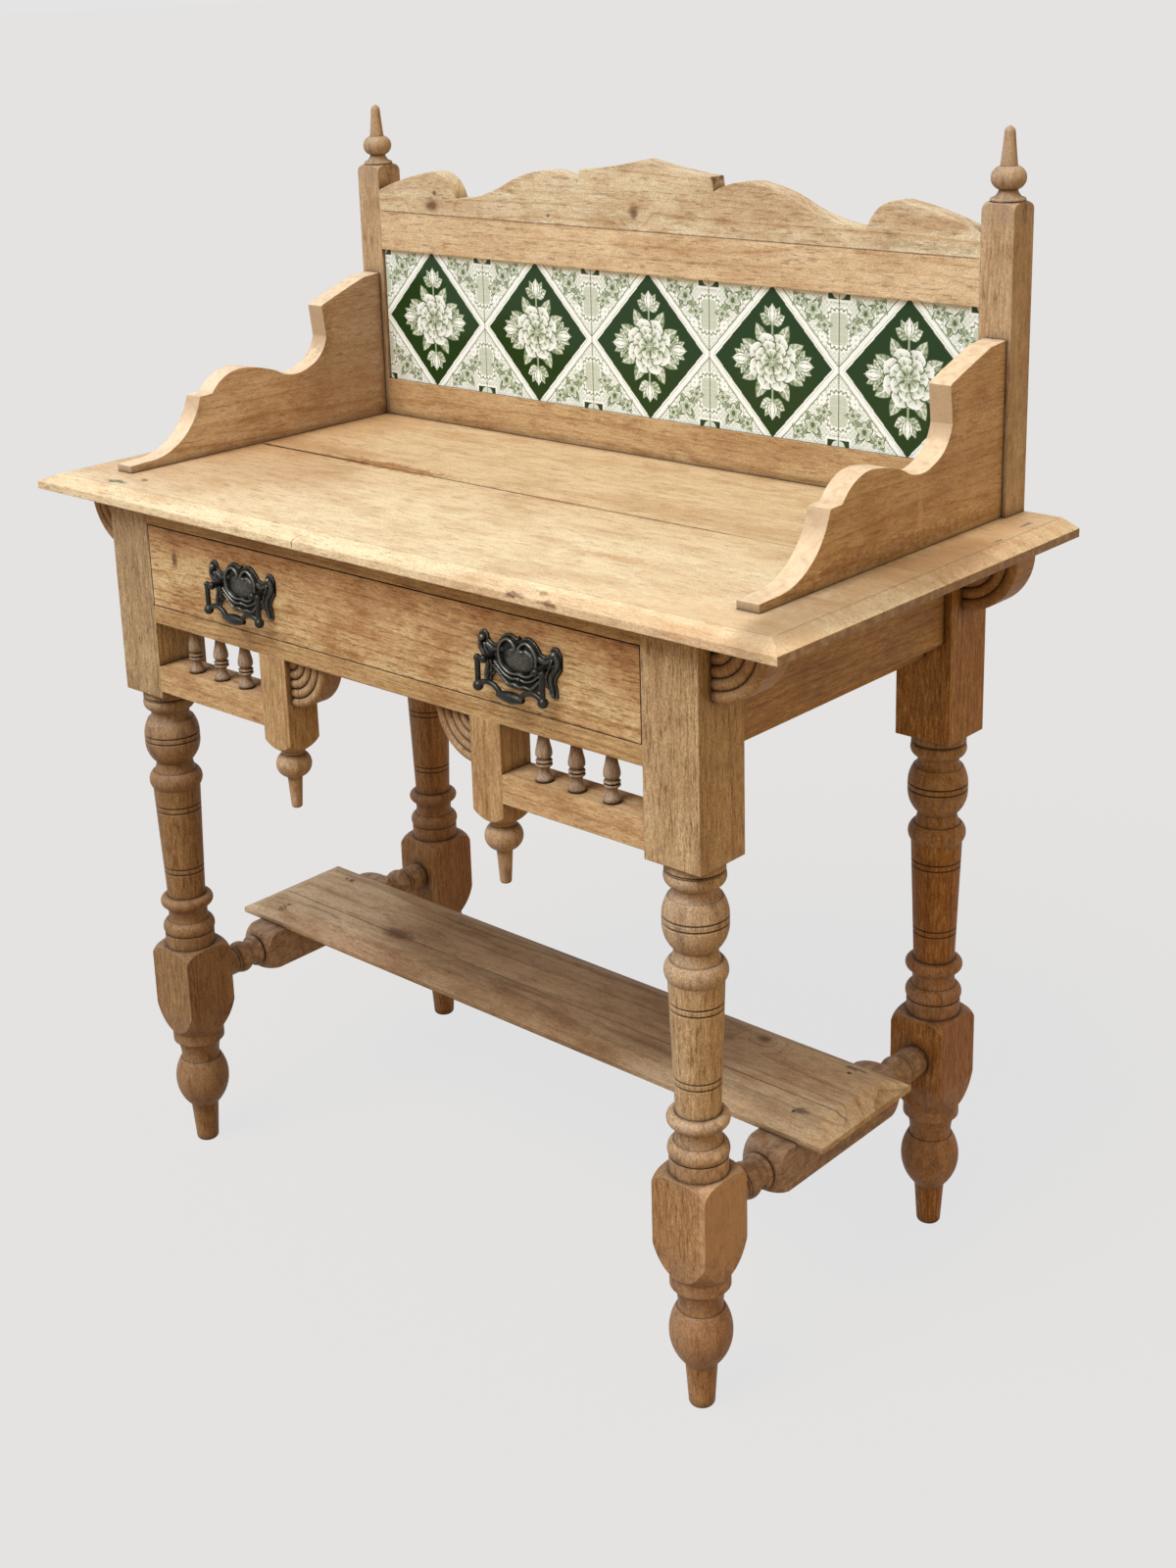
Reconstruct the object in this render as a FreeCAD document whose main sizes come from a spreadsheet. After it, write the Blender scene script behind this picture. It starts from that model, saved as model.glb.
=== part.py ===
"""A tile-backed pine washstand on turned legs, with one drawer and a shelf.

The frame: +Z is up, the front faces -Y, +X is to the viewer's right, and the origin is on
the floor under the middle of the top. Lengths are millimetres.
"""
import FreeCAD, Part
import math
import os

Vector = FreeCAD.Vector
Rotation = FreeCAD.Rotation
Placement = FreeCAD.Placement

doc = FreeCAD.newDocument("washstand")
sheet = doc.addObject("Spreadsheet::Sheet", "sizes")

SIZES = (
    # the top
    ("top_depth", 443, "front to back"),
    ("top_height", 739, "floor to the working surface"),
    ("top_thickness", 15, "planed board"),
    ("top_bevel_width", 18, "bevel on the front and both ends"),
    ("top_bevel_drop", 7.5, "fall of that bevel"),
    ("rear_plank_depth", 217, "the rear one of the two planks"),
    ("top_side_overhang", 91.6, "past the legs at each end"),
    ("top_front_overhang", 21, "past the legs at the front"),
    # the legs, from the floor upwards
    ("leg_section", 58, "square stock of a leg"),
    ("leg_block_height", 201, "square block that takes the rails"),
    ("peg_height", 44, "tapered peg foot"),
    ("peg_tip_diameter", 23.5, "at the floor"),
    ("peg_root_diameter", 29, "under the bulb"),
    ("peg_end_radius", 4, "worn edge at the floor"),
    ("bulb_height", 56, "ball above the peg"),
    ("bulb_diameter", 56, "its widest"),
    ("bulb_top_diameter", 43, "where the ball meets the cove"),
    ("ankle_cove_height", 23.5, "hollow under the ankle ring"),
    ("ankle_cove_diameter", 40.5, "its narrowest"),
    ("ankle_ring_height", 12, "plain ring under the lower block"),
    ("ankle_ring_diameter", 54, "its width"),
    ("lower_shoulder_height", 30, "long turned shoulder under the lower block"),
    ("lower_block_height", 59, "corner edge of the lower block"),
    ("upper_shoulder_height", 10.4, "short turned shoulder over the lower block"),
    ("collar_height", 14.5, "plain collar over the lower block"),
    ("collar_diameter", 51.5, "its width"),
    ("lower_torus_height", 14.5, "ring over the collar"),
    ("lower_torus_diameter", 54, "its width"),
    ("waist_cove_height", 15, "hollow between the two rings"),
    ("waist_cove_diameter", 40.4, "its narrowest"),
    ("upper_torus_height", 12.6, "ring under the column"),
    ("upper_torus_diameter", 54.8, "its width"),
    ("column_foot_diameter", 39.4, "narrow end of the column"),
    ("column_head_diameter", 48.4, "wide end of the column"),
    ("neck_torus_height", 17, "ring over the column"),
    ("neck_torus_diameter", 54, "its width"),
    ("neck_cove_height", 11, "hollow under the ball"),
    ("neck_cove_diameter", 36.6, "its narrowest"),
    ("ball_height", 46.5, "large ball"),
    ("ball_diameter", 56.4, "its widest"),
    ("throat_height", 10.5, "hollow over the ball"),
    ("throat_diameter", 38.8, "its narrowest"),
    ("head_ring_height", 13, "ring under the head collar"),
    ("head_ring_diameter", 52.6, "its width"),
    ("head_collar_height", 10, "collar under the square block"),
    ("head_collar_diameter", 51.5, "its width"),
    ("fillet_step", 1, "small step beside each hollow"),
    ("groove_width", 2.2, "cut with the corner of a chisel"),
    ("groove_depth", 1.3, "how deep that cut goes"),
    ("groove_pitch", 5.8, "from one groove of a pair to the other"),
    ("column_groove_low", 30.8, "middle of the low pair over the foot of the column"),
    ("column_groove_high", 23, "middle of the high pair under the head of the column"),
    # the frame under the top
    ("rail_thickness", 20, "side and back rails"),
    ("side_rail_height", 104, "side and back rails"),
    ("rail_setback", 8, "behind the outer face of the legs"),
    ("tenon_length", 25, "into the leg"),
    ("tenon_thickness", 9, "third of the rail, near enough"),
    ("tenon_shoulder", 10, "above and below a tenon"),
    ("top_rail_thickness", 18.5, "rail over the drawer, on the flat"),
    ("drawer_rail_thickness", 18, "rail under the drawer, on the flat"),
    ("front_rail_depth", 46, "both front rails, front to back"),
    ("drawer_opening_height", 84, "between the two front rails"),
    ("runner_width", 44, "board that the drawer slides on"),
    ("guide_height", 18, "strip that keeps the drawer straight"),
    ("kicker_width", 30, "strip that stops the open drawer tipping"),
    ("glue_block_side", 22, "blocks rubbed in under the top"),
    ("glue_block_length", 60, "the same blocks"),
    # the gallery of spindles under the drawer
    ("spindle_bay_width", 158.4, "from leg to pendant"),
    ("spindle_bay_height", 46, "clear height of the bay"),
    ("gallery_rail_height", 27, "rail that the spindles stand on"),
    ("pendant_section", 36.5, "square stock of a pendant"),
    ("pendant_face_drop", 13.5, "corner of the pendant below the gallery rail"),
    ("pendant_shoulder_height", 11.5, "turned shoulder"),
    ("pendant_neck_height", 3, "under the shoulder"),
    ("pendant_neck_diameter", 23, "its width"),
    ("pendant_ball_height", 24, "ball of the pendant"),
    ("pendant_ball_diameter", 34.4, "its widest"),
    ("pendant_spike_length", 33, "tapered end"),
    ("pendant_spike_diameter", 14.6, "at the ball"),
    ("pendant_tip_diameter", 10.6, "at the end"),
    ("spindle_inset", 13, "axis behind the front face of the leg"),
    ("spindle_foot_diameter", 16.4, "flared foot"),
    ("spindle_neck_diameter", 8.6, "over the foot"),
    ("spindle_ring_diameter", 14.8, "double ring"),
    ("spindle_vase_diameter", 14.2, "swelling over the rings"),
    ("spindle_top_diameter", 8.8, "under the drawer rail"),
    ("spindle_pin_diameter", 6, "dowel at both ends"),
    ("spindle_pin_length", 7, "the same dowel"),
    # the reeded brackets
    ("fan_radius", 48, "beside the pendants"),
    ("fan_depth", 24, "front to back"),
    ("fan_setback", 5.5, "behind the front face of the leg"),
    ("bracket_radius", 55, "under the overhang of the top"),
    ("bracket_depth", 32, "front to back"),
    ("bracket_setback", 15.5, "behind the front face of the leg"),
    ("bracket_strip_front", 4, "plain strip over the reeds, at the front legs"),
    ("bracket_strip_back", 19, "the same strip at the back legs"),
    ("reed_relief", 3, "from crown to groove"),
    # the tiled back
    ("post_section", 32.3, "square stock of an end post"),
    ("post_side_setback", 55.5, "from the end of the top"),
    ("splash_bottom_rail_height", 40.5, "rail on the top"),
    ("splash_top_rail_height", 42, "rail over the tiles"),
    ("splash_rail_thickness", 20, "both of these rails"),
    ("tile_side", 152.4, "six inches"),
    ("tile_thickness", 9, "pressed dust tile"),
    ("tile_cover", 4.15, "edge of the tiles that the rails hide"),
    ("tile_side_cover", 2.8, "edge of the end tiles that the posts hide"),
    ("tile_recess", 4, "face of the tiles behind the rails"),
    ("tile_count", 5, "in one row"),
    ("backing_thickness", 7, "board behind the tiles"),
    ("crest_thickness", 19, "shaped board"),
    ("crest_end_height", 22.5, "at the posts"),
    ("crest_wing_height", 45, "outer humps"),
    ("crest_valley_height", 19, "between the humps"),
    ("crest_hump_height", 54, "inner humps"),
    ("crest_notch_height", 43, "beside the middle"),
    ("crest_step_height", 56.5, "ends of the middle"),
    ("crest_peak_height", 69.5, "middle"),
    ("post_face_height", 268, "corner edge of a post above the top"),
    ("post_shoulder_height", 7, "turned shoulder"),
    ("finial_collar_height", 3.5, "bead at the foot of a finial"),
    ("finial_collar_diameter", 30, "its width"),
    ("finial_neck_height", 7, "hollow over the bead"),
    ("finial_neck_diameter", 16.4, "its narrowest"),
    ("finial_ball_height", 19.5, "ball"),
    ("finial_ball_diameter", 30.8, "its widest"),
    ("finial_spire_height", 33.5, "spire"),
    ("finial_spire_diameter", 15.2, "at the ball"),
    ("finial_tip_diameter", 9.6, "near the tip"),
    # the shaped side boards on the top
    ("gallery_thickness", 22, "side board"),
    ("gallery_toe_setback", 56.9, "behind the front edge of the top"),
    ("gallery_post_setback", 4, "behind the outer face of the post"),
    ("gallery_toe_height", 7.5, "front end"),
    ("gallery_step_height", 63, "notch over the ramp"),
    ("gallery_hump_height", 84, "front hump"),
    ("gallery_valley_height", 66, "behind the hump"),
    ("gallery_horn_height", 133, "front edge of the high part"),
    ("gallery_back_height", 158.5, "at the post"),
    # the shelf and its stretchers
    ("shelf_height", 227, "floor to its upper face"),
    ("shelf_overhang", 19.6, "past the outer faces of the legs"),
    ("shelf_depth", 140, "front to back"),
    ("shelf_thickness", 14, "planed board"),
    ("shelf_front_board_depth", 48, "narrow front board"),
    ("shelf_bevel_width", 20, "bevel all round"),
    ("shelf_bevel_drop", 8.4, "fall of that bevel"),
    ("stretcher_section", 42, "square stock"),
    ("stretcher_block_margin", 11, "square part past the edges of the shelf"),
    ("stretcher_end_diameter", 30, "beside the leg"),
    ("stretcher_ring_diameter", 34, "rings"),
    ("stretcher_tenon_diameter", 20, "round tenon"),
    ("stretcher_tenon_length", 22, "into the leg"),
    # the drawer
    ("drawer_side_gap", 1, "beside the drawer front"),
    ("drawer_top_gap", 1.2, "over the drawer front"),
    ("drawer_seat_gap", 0.3, "between drawer and runner"),
    ("drawer_guide_gap", 0.5, "between drawer side and guide"),
    ("drawer_front_thickness", 20, "pine front"),
    ("drawer_side_thickness", 10, "pine sides"),
    ("drawer_side_drop", 5, "top of the sides under the kickers"),
    ("drawer_back_gap", 9, "between the drawer and the back rail"),
    ("drawer_bottom_thickness", 6, "thin boards"),
    ("drawer_bottom_rise", 9, "bottom over the edge of the sides"),
    ("drawer_groove_depth", 4, "bottom let into front and sides"),
    # the handles
    ("handle_inset", 136.9, "middle of a handle to the leg beside it"),
    ("handle_shift", 6, "both handles to the right of the middle"),
    ("plate_width", 94, "ear to ear"),
    ("plate_height", 46, "lobes to tails"),
    ("plate_thickness", 2.4, "cast plate"),
    ("boss_rise", 4.6, "swelling in the middle of a plate"),
    ("boss_width", 41, "the same swelling"),
    ("rib_diameter", 3.4, "raised scrolls"),
    ("limb_diameter", 6.4, "rounded ears and tails"),
    ("bead_diameter", 4.8, "small beads"),
    ("pivot_rise", 2, "pins above the middle of the drawer"),
    ("bail_span", 74, "between the arms"),
    ("bail_drop", 28, "pivot to the middle of the grip"),
    ("bail_knob_drop", 25, "pivot to the knobs"),
    ("bail_hump_rise", 5.5, "of the curved rails over the knobs"),
    ("bail_rod_diameter", 5, "arms and rails"),
    ("bail_eye_diameter", 6.2, "upper ends of the arms"),
    ("bail_grip_diameter", 10.4, "middle of the grip"),
    ("bail_knob_diameter", 9.4, "knobs at the lower corners"),
    ("bail_pin_diameter", 2.8, "pins that it swings on"),
    ("bail_pin_clearance", 0.1, "all round a pin"),
    ("bail_side_clearance", 0.4, "between an eye and its stud"),
    ("bail_standoff", 14, "pivot in front of the drawer"),
    ("stud_diameter", 7.6, "ball head of a handle bolt"),
    ("stud_neck_diameter", 5.4, "neck behind that head"),
    ("bolt_diameter", 4, "threaded shank"),
    ("nut_width", 8, "square nut"),
    ("nut_thickness", 3.5, "square nut"),
    # screws and nails
    ("screw_head_diameter", 8, "countersunk head"),
    ("screw_diameter", 4, "shank"),
    ("screw_length", 32, "over all"),
    ("nail_head_diameter", 4.5, "cut nail"),
    ("nail_length", 30, "over all"),
    ("cut_overrun", 2, "how far a cutting shape runs past a face"),
)

for row, (name, value, note) in enumerate(SIZES, start=1):
    sheet.set("A%d" % row, name)
    sheet.set("B%d" % row, str(value))
    sheet.setAlias("B%d" % row, name)
    sheet.set("C%d" % row, note)
doc.recompute()


class Length:
    """A length with its worth now and the expression over the sheet that gives it."""

    def __init__(self, text, worth):
        self.text = text
        self.worth = worth

    def __float__(self):
        return float(self.worth)

    def __neg__(self):
        return Length("-(%s)" % self.text, -self.worth)

    def __add__(self, other):
        return Length("(%s + %s)" % (self.text, text_of(other)), self.worth + float(other))

    def __sub__(self, other):
        return Length("(%s - %s)" % (self.text, text_of(other)), self.worth - float(other))

    def __rsub__(self, other):
        return Length("(%s - %s)" % (text_of(other), self.text), float(other) - self.worth)

    def __mul__(self, other):
        return Length("(%s * %s)" % (self.text, text_of(other)), self.worth * float(other))

    def __truediv__(self, other):
        return Length("(%s / %s)" % (self.text, text_of(other)), self.worth / float(other))

    __radd__ = __add__
    __rmul__ = __mul__


def text_of(thing):
    return thing.text if isinstance(thing, Length) else repr(float(thing))


class Sizes:
    """Hands out the cells of the sheet by their names."""

    def __getattr__(self, name):
        return Length("sizes." + name, float(sheet.get(name)))


size = Sizes()
ZERO = Length("0", 0.0)
SIDES = (("left", -1), ("right", 1))
nodes = []

# places that several pieces share
top_under = size.top_height - size.top_thickness
top_back = size.top_depth / 2
top_front = -top_back
post_inner = size.tile_side * size.tile_count / 2 - size.tile_side_cover
post_outer = post_inner + size.post_section
post_front = top_back - size.post_section
top_end = post_outer + size.post_side_setback
leg_outer = top_end - size.top_side_overhang
leg_inner = leg_outer - size.leg_section
leg_middle = leg_outer - size.leg_section / 2
leg_front = top_front + size.top_front_overhang
front_leg_y = leg_front + size.leg_section / 2
back_leg_y = top_back - size.leg_section / 2
front_leg_back = leg_front + size.leg_section
back_leg_front = top_back - size.leg_section
drawer_ceiling = top_under - size.top_rail_thickness
drawer_floor = drawer_ceiling - size.drawer_opening_height
bay_ceiling = drawer_floor - size.drawer_rail_thickness
bay_floor = bay_ceiling - size.spindle_bay_height
bay_under = bay_floor - size.gallery_rail_height
pendant_outer = leg_inner - size.spindle_bay_width
pendant_inner = pendant_outer - size.pendant_section
gallery_length = post_front - top_front - size.gallery_toe_setback
tile_face = post_front + size.tile_recess
tile_back = tile_face + size.tile_thickness
tile_low = size.top_height + size.splash_bottom_rail_height - size.tile_cover
tile_high = tile_low + size.tile_side
splash_joint = tile_high - size.tile_cover
crest_low = splash_joint + size.splash_top_rail_height


def keep(piece, label):
    """Names a finished piece and puts it on the list of what is written."""
    piece.Label = label
    nodes.append(piece)
    return piece


def plain_name(label):
    return label + "_shape"


def block(name, x, y, z):
    """A rectangular solid between two bounds on each axis, every bound tied to the sheet."""
    solid = doc.addObject("Part::Box", name)
    for edge, place, (low, high) in (("Length", "x", x), ("Width", "y", y), ("Height", "z", z)):
        solid.setExpression(edge, text_of(high - low))
        solid.setExpression("Placement.Base." + place, text_of(low))
    return solid


def rod(name, axis, start, length, diameter):
    """A round rod from a start point along one axis, given as a unit vector."""
    solid = doc.addObject("Part::Cylinder", name)
    solid.Placement = Placement(Vector(), Rotation(Vector(0, 0, 1), Vector(*axis)))
    solid.setExpression("Radius", text_of(diameter / 2))
    solid.setExpression("Height", text_of(length))
    for place, value in zip("xyz", start):
        solid.setExpression("Placement.Base." + place, text_of(value))
    return solid


def fuse(name, solids):
    joined = doc.addObject("Part::MultiFuse", name)
    joined.Shapes = solids
    joined.Refine = True
    return joined


def cut(name, solid, tool):
    rest = doc.addObject("Part::Cut", name)
    rest.Base = solid
    rest.Tool = tool
    return rest


def group(name, solids):
    """Like fixings that stay separate solids of one node."""
    several = doc.addObject("Part::Compound", name)
    several.Links = solids
    return several


def feature(name, shape, place=None):
    solid = doc.addObject("Part::Feature", name)
    solid.Shape = shape
    if place is not None:
        solid.Placement = place
    return solid


def at(x, y, z):
    return Placement(Vector(float(x), float(y), float(z)), Rotation())


def mirror_x(pair):
    """The same span of x on the left-hand side."""
    low, high = pair
    return (-high, -low)


def span(side, low, high):
    return (low, high) if side > 0 else mirror_x((low, high))


class Profile:
    """Half the outline of a turning, built upwards from the lathe's centre line.

    Radii and heights are numbers; each call adds one edge and moves the pen.
    """

    def __init__(self, height=0.0):
        self.height = float(height)
        self.radius = 0.0
        self.edges = []

    def point(self, radius, height):
        return Vector(radius, 0, height)

    def line(self, radius, rise=0.0):
        radius = float(radius)
        height = self.height + float(rise)
        start = self.point(self.radius, self.height)
        end = self.point(radius, height)
        self.edges.append(Part.LineSegment(start, end).toShape())
        self.radius = radius
        self.height = height

    def curve(self, widest, radius, rise, share=0.5):
        """An arc whose middle point is at the given radius and share of the rise."""
        radius = float(radius)
        height = self.height + float(rise)
        start = self.point(self.radius, self.height)
        middle = self.point(float(widest), self.height + share * float(rise))
        end = self.point(radius, height)
        self.edges.append(Part.Arc(start, middle, end).toShape())
        self.radius = radius
        self.height = height

    def groove(self, radius_after):
        """A small V cut with straight sides."""
        half = float(size.groove_width) / 2
        middle = (self.radius + float(radius_after)) / 2 - float(size.groove_depth)
        self.line(middle, half)
        self.line(radius_after, half)

    def solid(self):
        start = self.edges[0].Vertexes[0].Point
        self.line(0.0)
        end = self.point(self.radius, self.height)
        self.edges.append(Part.LineSegment(end, start).toShape())
        face = Part.Face(Part.Wire(self.edges))
        return face.revolve(Vector(), Vector(0, 0, 1), 360)


def grooved_pair(profile, radius_low, radius_high, length, middle):
    """A tapering round length with two grooves about a middle height above its foot."""
    length = float(length)
    width = float(size.groove_width)
    pitch = float(size.groove_pitch)

    def radius_at(height):
        return float(radius_low) + (float(radius_high) - float(radius_low)) * height / length

    done = 0.0
    for centre in middle:
        for offset in (-pitch / 2, pitch / 2):
            start = float(centre) + offset - width / 2
            profile.line(radius_at(start), start - done)
            profile.groove(radius_at(start + width))
            done = start + width
    profile.line(radius_high, length - done)


def corner_radius(section):
    """Half the diagonal of a square."""
    return float(section) / math.sqrt(2)


def leg_turning():
    """The whole lathe outline of a leg; the square blocks show where the stock limits it."""
    step = float(size.fillet_step)
    corner = corner_radius(size.leg_section)
    reach = corner + float(size.cut_overrun)
    leg = Profile()
    leg.line(size.peg_tip_diameter / 2 - size.peg_end_radius)
    leg.curve(
        size.peg_tip_diameter / 2 - size.peg_end_radius * (1 - math.sqrt(0.5)),
        size.peg_tip_diameter / 2,
        size.peg_end_radius,
        1 - math.sqrt(0.5),
    )
    leg.line(size.peg_root_diameter / 2, size.peg_height - size.peg_end_radius)
    leg.curve(size.bulb_diameter / 2, size.bulb_top_diameter / 2, size.bulb_height)
    leg.line(leg.radius - step)
    leg.curve(
        size.ankle_cove_diameter / 2,
        size.ankle_ring_diameter / 2 - size.fillet_step * 2,
        size.ankle_cove_height,
        0.4,
    )
    leg.line(size.ankle_ring_diameter / 2)
    leg.line(size.ankle_ring_diameter / 2, size.ankle_ring_height)
    leg.curve(corner * 0.88, corner, size.lower_shoulder_height)
    leg.line(reach)
    leg.line(reach, size.lower_block_height)
    leg.line(corner)
    leg.curve(corner * 0.89, size.collar_diameter / 2 + size.fillet_step, size.upper_shoulder_height, 0.68)
    leg.line(size.collar_diameter / 2)
    leg.line(size.collar_diameter / 2, size.collar_height)
    leg.line(leg.radius - step)
    leg.curve(
        size.lower_torus_diameter / 2,
        size.waist_cove_diameter / 2 + size.fillet_step * 2,
        size.lower_torus_height,
        0.45,
    )
    leg.line(leg.radius - step)
    leg.curve(
        size.waist_cove_diameter / 2,
        size.waist_cove_diameter / 2 + size.fillet_step * 1.5,
        size.waist_cove_height,
        0.45,
    )
    leg.line(leg.radius + step)
    leg.curve(
        size.upper_torus_diameter / 2,
        size.column_foot_diameter / 2 + size.fillet_step,
        size.upper_torus_height,
    )
    leg.line(size.column_foot_diameter / 2)
    above = (
        size.neck_torus_height
        + size.neck_cove_height
        + size.ball_height
        + size.throat_height
        + size.head_ring_height
        + size.head_collar_height
        + size.leg_block_height
    )
    column = top_under - above - leg.height
    grooved_pair(
        leg,
        size.column_foot_diameter / 2,
        size.column_head_diameter / 2,
        column,
        (size.column_groove_low, column - size.column_groove_high),
    )
    leg.line(leg.radius + step * 0.5)
    leg.curve(
        size.neck_torus_diameter / 2,
        size.column_head_diameter / 2 - size.fillet_step,
        size.neck_torus_height,
        0.6,
    )
    leg.line(leg.radius - step * 2)
    leg.curve(
        size.neck_cove_diameter / 2 + size.fillet_step,
        size.neck_cove_diameter / 2,
        size.neck_cove_height,
        0.55,
    )
    leg.line(leg.radius + step * 0.5)
    half_ball = size.ball_height / 2
    leg.curve(size.ball_diameter * 0.46, size.ball_diameter / 2, half_ball, 0.45)
    leg.groove(leg.radius)
    leg.line(leg.radius, size.groove_pitch - size.groove_width)
    leg.groove(leg.radius)
    rest = half_ball - size.groove_pitch - size.groove_width
    leg.curve(size.ball_diameter * 0.475, size.throat_diameter / 2 + size.fillet_step * 4, rest, 0.5)
    leg.line(leg.radius - step)
    leg.curve(
        size.throat_diameter / 2,
        size.throat_diameter / 2 + size.fillet_step,
        size.throat_height,
        0.6,
    )
    leg.line(leg.radius + step)
    leg.curve(
        size.head_ring_diameter / 2,
        size.head_collar_diameter / 2 - size.fillet_step,
        size.head_ring_height,
        0.68,
    )
    leg.line(size.head_collar_diameter / 2)
    leg.groove(leg.radius)
    leg.line(size.head_collar_diameter / 2, size.head_collar_height - size.groove_width)
    leg.line(reach)
    leg.line(reach, size.leg_block_height)
    return leg.solid()


def square_stock(section, low, high):
    half = float(section) / 2
    stock = Part.makeBox(2 * half, 2 * half, float(high - low))
    stock.translate(Vector(-half, -half, float(low)))
    return stock


def turned_square(turning, section, low, high):
    """A turning cut from square stock, so the stock's flats run out in arches."""
    return turning.common(square_stock(section, low, high))


# the frame: rails with their tenons
def tenoned_rail(label, x, y, z, along, lengthwise_tenon):
    """A rail on edge with a tenon at both ends, along x or along y."""
    tenon_z = (z[0] + size.tenon_shoulder, z[1] - size.tenon_shoulder)
    body = block(plain_name(label), x, y, z)
    low, high = (x, y)[along]
    other = (y, x)[along]
    middle = (other[0] + other[1]) / 2
    flat = (middle - size.tenon_thickness / 2, middle + size.tenon_thickness / 2)
    tongues = []
    for number, ends in enumerate(((low - lengthwise_tenon, low), (high, high + lengthwise_tenon))):
        bounds = (ends, flat) if along == 0 else (flat, ends)
        tongues.append(block("%s_tenon_%d" % (label, number), bounds[0], bounds[1], tenon_z))
    return keep(fuse(label, [body] + tongues), label)


rail_low = top_under - size.side_rail_height
side_rails = {}
for side_name, side in SIDES:
    outer = leg_outer - size.rail_setback
    side_rails[side_name] = tenoned_rail(
        "side_rail_" + side_name,
        span(side, outer - size.rail_thickness, outer),
        (front_leg_back, back_leg_front),
        (rail_low, top_under),
        1,
        size.tenon_length,
    )

back_rail_y = (
    top_back - size.rail_setback - size.rail_thickness,
    top_back - size.rail_setback,
)
back_rail = tenoned_rail(
    "back_rail", (-leg_inner, leg_inner), back_rail_y, (rail_low, top_under), 0, size.tenon_length
)


def flat_rail(label, z):
    """A front rail laid flat, with a stub tenon into each front leg."""
    y = (leg_front, leg_front + size.front_rail_depth)
    body = block(plain_name(label), (-leg_inner, leg_inner), y, z)
    tenon_y = (y[0] + size.tenon_shoulder, y[1] - size.tenon_shoulder)
    middle = (z[0] + z[1]) / 2
    tenon_z = (middle - size.tenon_thickness / 2, middle + size.tenon_thickness / 2)
    tongues = []
    for side_name, side in SIDES:
        ends = span(side, leg_inner, leg_inner + size.tenon_length)
        tongues.append(block(label + "_tenon_" + side_name, ends, tenon_y, tenon_z))
    return keep(fuse(label, [body] + tongues), label)


top_front_rail = flat_rail("top_front_rail", (drawer_ceiling, top_under))

# the drawer rail also takes the dowels of the pendants and spindles from below
pendant_y = leg_front + size.pendant_section / 2
spindle_y = leg_front + size.spindle_inset
SPINDLE_SHARES = (0.28, 0.525, 0.76)


def spindle_turning():
    """A little vase baluster with a dowel at both ends; heights are shares of the bay."""
    tall = float(size.spindle_bay_height)
    pin = size.spindle_pin_diameter / 2
    turning = Profile(-float(size.spindle_pin_length))
    turning.line(pin)
    turning.line(pin, size.spindle_pin_length)
    turning.line(size.spindle_foot_diameter * 0.46)
    turning.curve(size.spindle_foot_diameter / 2, size.spindle_foot_diameter * 0.45, tall * 0.07)
    turning.curve(
        size.spindle_neck_diameter * 0.56,
        size.spindle_neck_diameter / 2,
        tall * 0.15,
        0.6,
    )
    turning.line(size.spindle_ring_diameter * 0.42, tall * 0.04)
    turning.curve(size.spindle_ring_diameter / 2, size.spindle_ring_diameter * 0.42, tall * 0.06)
    turning.curve(size.spindle_ring_diameter / 2, size.spindle_ring_diameter * 0.42, tall * 0.06)
    turning.curve(size.spindle_vase_diameter / 2, size.spindle_vase_diameter * 0.45, tall * 0.24, 0.45)
    turning.curve(size.spindle_top_diameter * 0.56, size.spindle_top_diameter / 2, tall * 0.38, 0.55)
    turning.line(pin)
    turning.line(pin, size.spindle_pin_length)
    return turning.solid()


spindle_shape = spindle_turning()
spindles = {}
for side_name, side in SIDES:
    trio = []
    for number, share in enumerate(SPINDLE_SHARES, start=1):
        x = (leg_inner - size.spindle_bay_width * share) * side
        name = "spindle_%s_%d" % (side_name, number)
        trio.append(feature(name, spindle_shape, at(x, spindle_y, bay_floor)))
    label = "spindles_" + side_name
    spindles[side_name] = keep(group(label, trio), label)


def pendant_turning():
    """A pendant post: square above, turned to a ball and spike below the gallery rail."""
    corner = corner_radius(size.pendant_section)
    reach = corner + float(size.cut_overrun)
    face_low = bay_under - size.pendant_face_drop
    below = (
        size.pendant_shoulder_height
        + size.pendant_neck_height
        + size.pendant_ball_height
        + size.pendant_spike_length
    )
    tip = size.pendant_tip_diameter / 2
    turning = Profile(face_low - below)
    turning.line(tip * 0.55)
    turning.curve(tip * 0.9, tip, tip * 0.45, 0.4)
    turning.line(size.pendant_spike_diameter / 2, size.pendant_spike_length - tip * 0.45)
    turning.line(turning.radius + float(size.fillet_step))
    turning.curve(
        size.pendant_ball_diameter / 2,
        size.pendant_neck_diameter / 2 - size.fillet_step,
        size.pendant_ball_height,
    )
    turning.line(size.pendant_neck_diameter / 2)
    turning.line(size.pendant_neck_diameter / 2, size.pendant_neck_height)
    turning.curve(corner * 0.78, corner, size.pendant_shoulder_height)
    turning.line(reach)
    turning.line(reach, bay_ceiling - face_low)
    stock = square_stock(size.pendant_section, face_low - below, bay_ceiling)
    return turning.solid().common(stock)


pendant_shape = pendant_turning()
pendants = {}
for side_name, side in SIDES:
    x = (pendant_inner + size.pendant_section / 2) * side
    body = feature(plain_name("pendant_post_" + side_name), pendant_shape, at(x, pendant_y, ZERO))
    dowel = rod(
        "pendant_dowel_" + side_name,
        (0, 0, 1),
        (x, pendant_y, bay_ceiling),
        size.drawer_rail_thickness * 0.6,
        size.pendant_section * 0.4,
    )
    pendants[side_name] = fuse("pendant_blank_" + side_name, [body, dowel])

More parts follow.
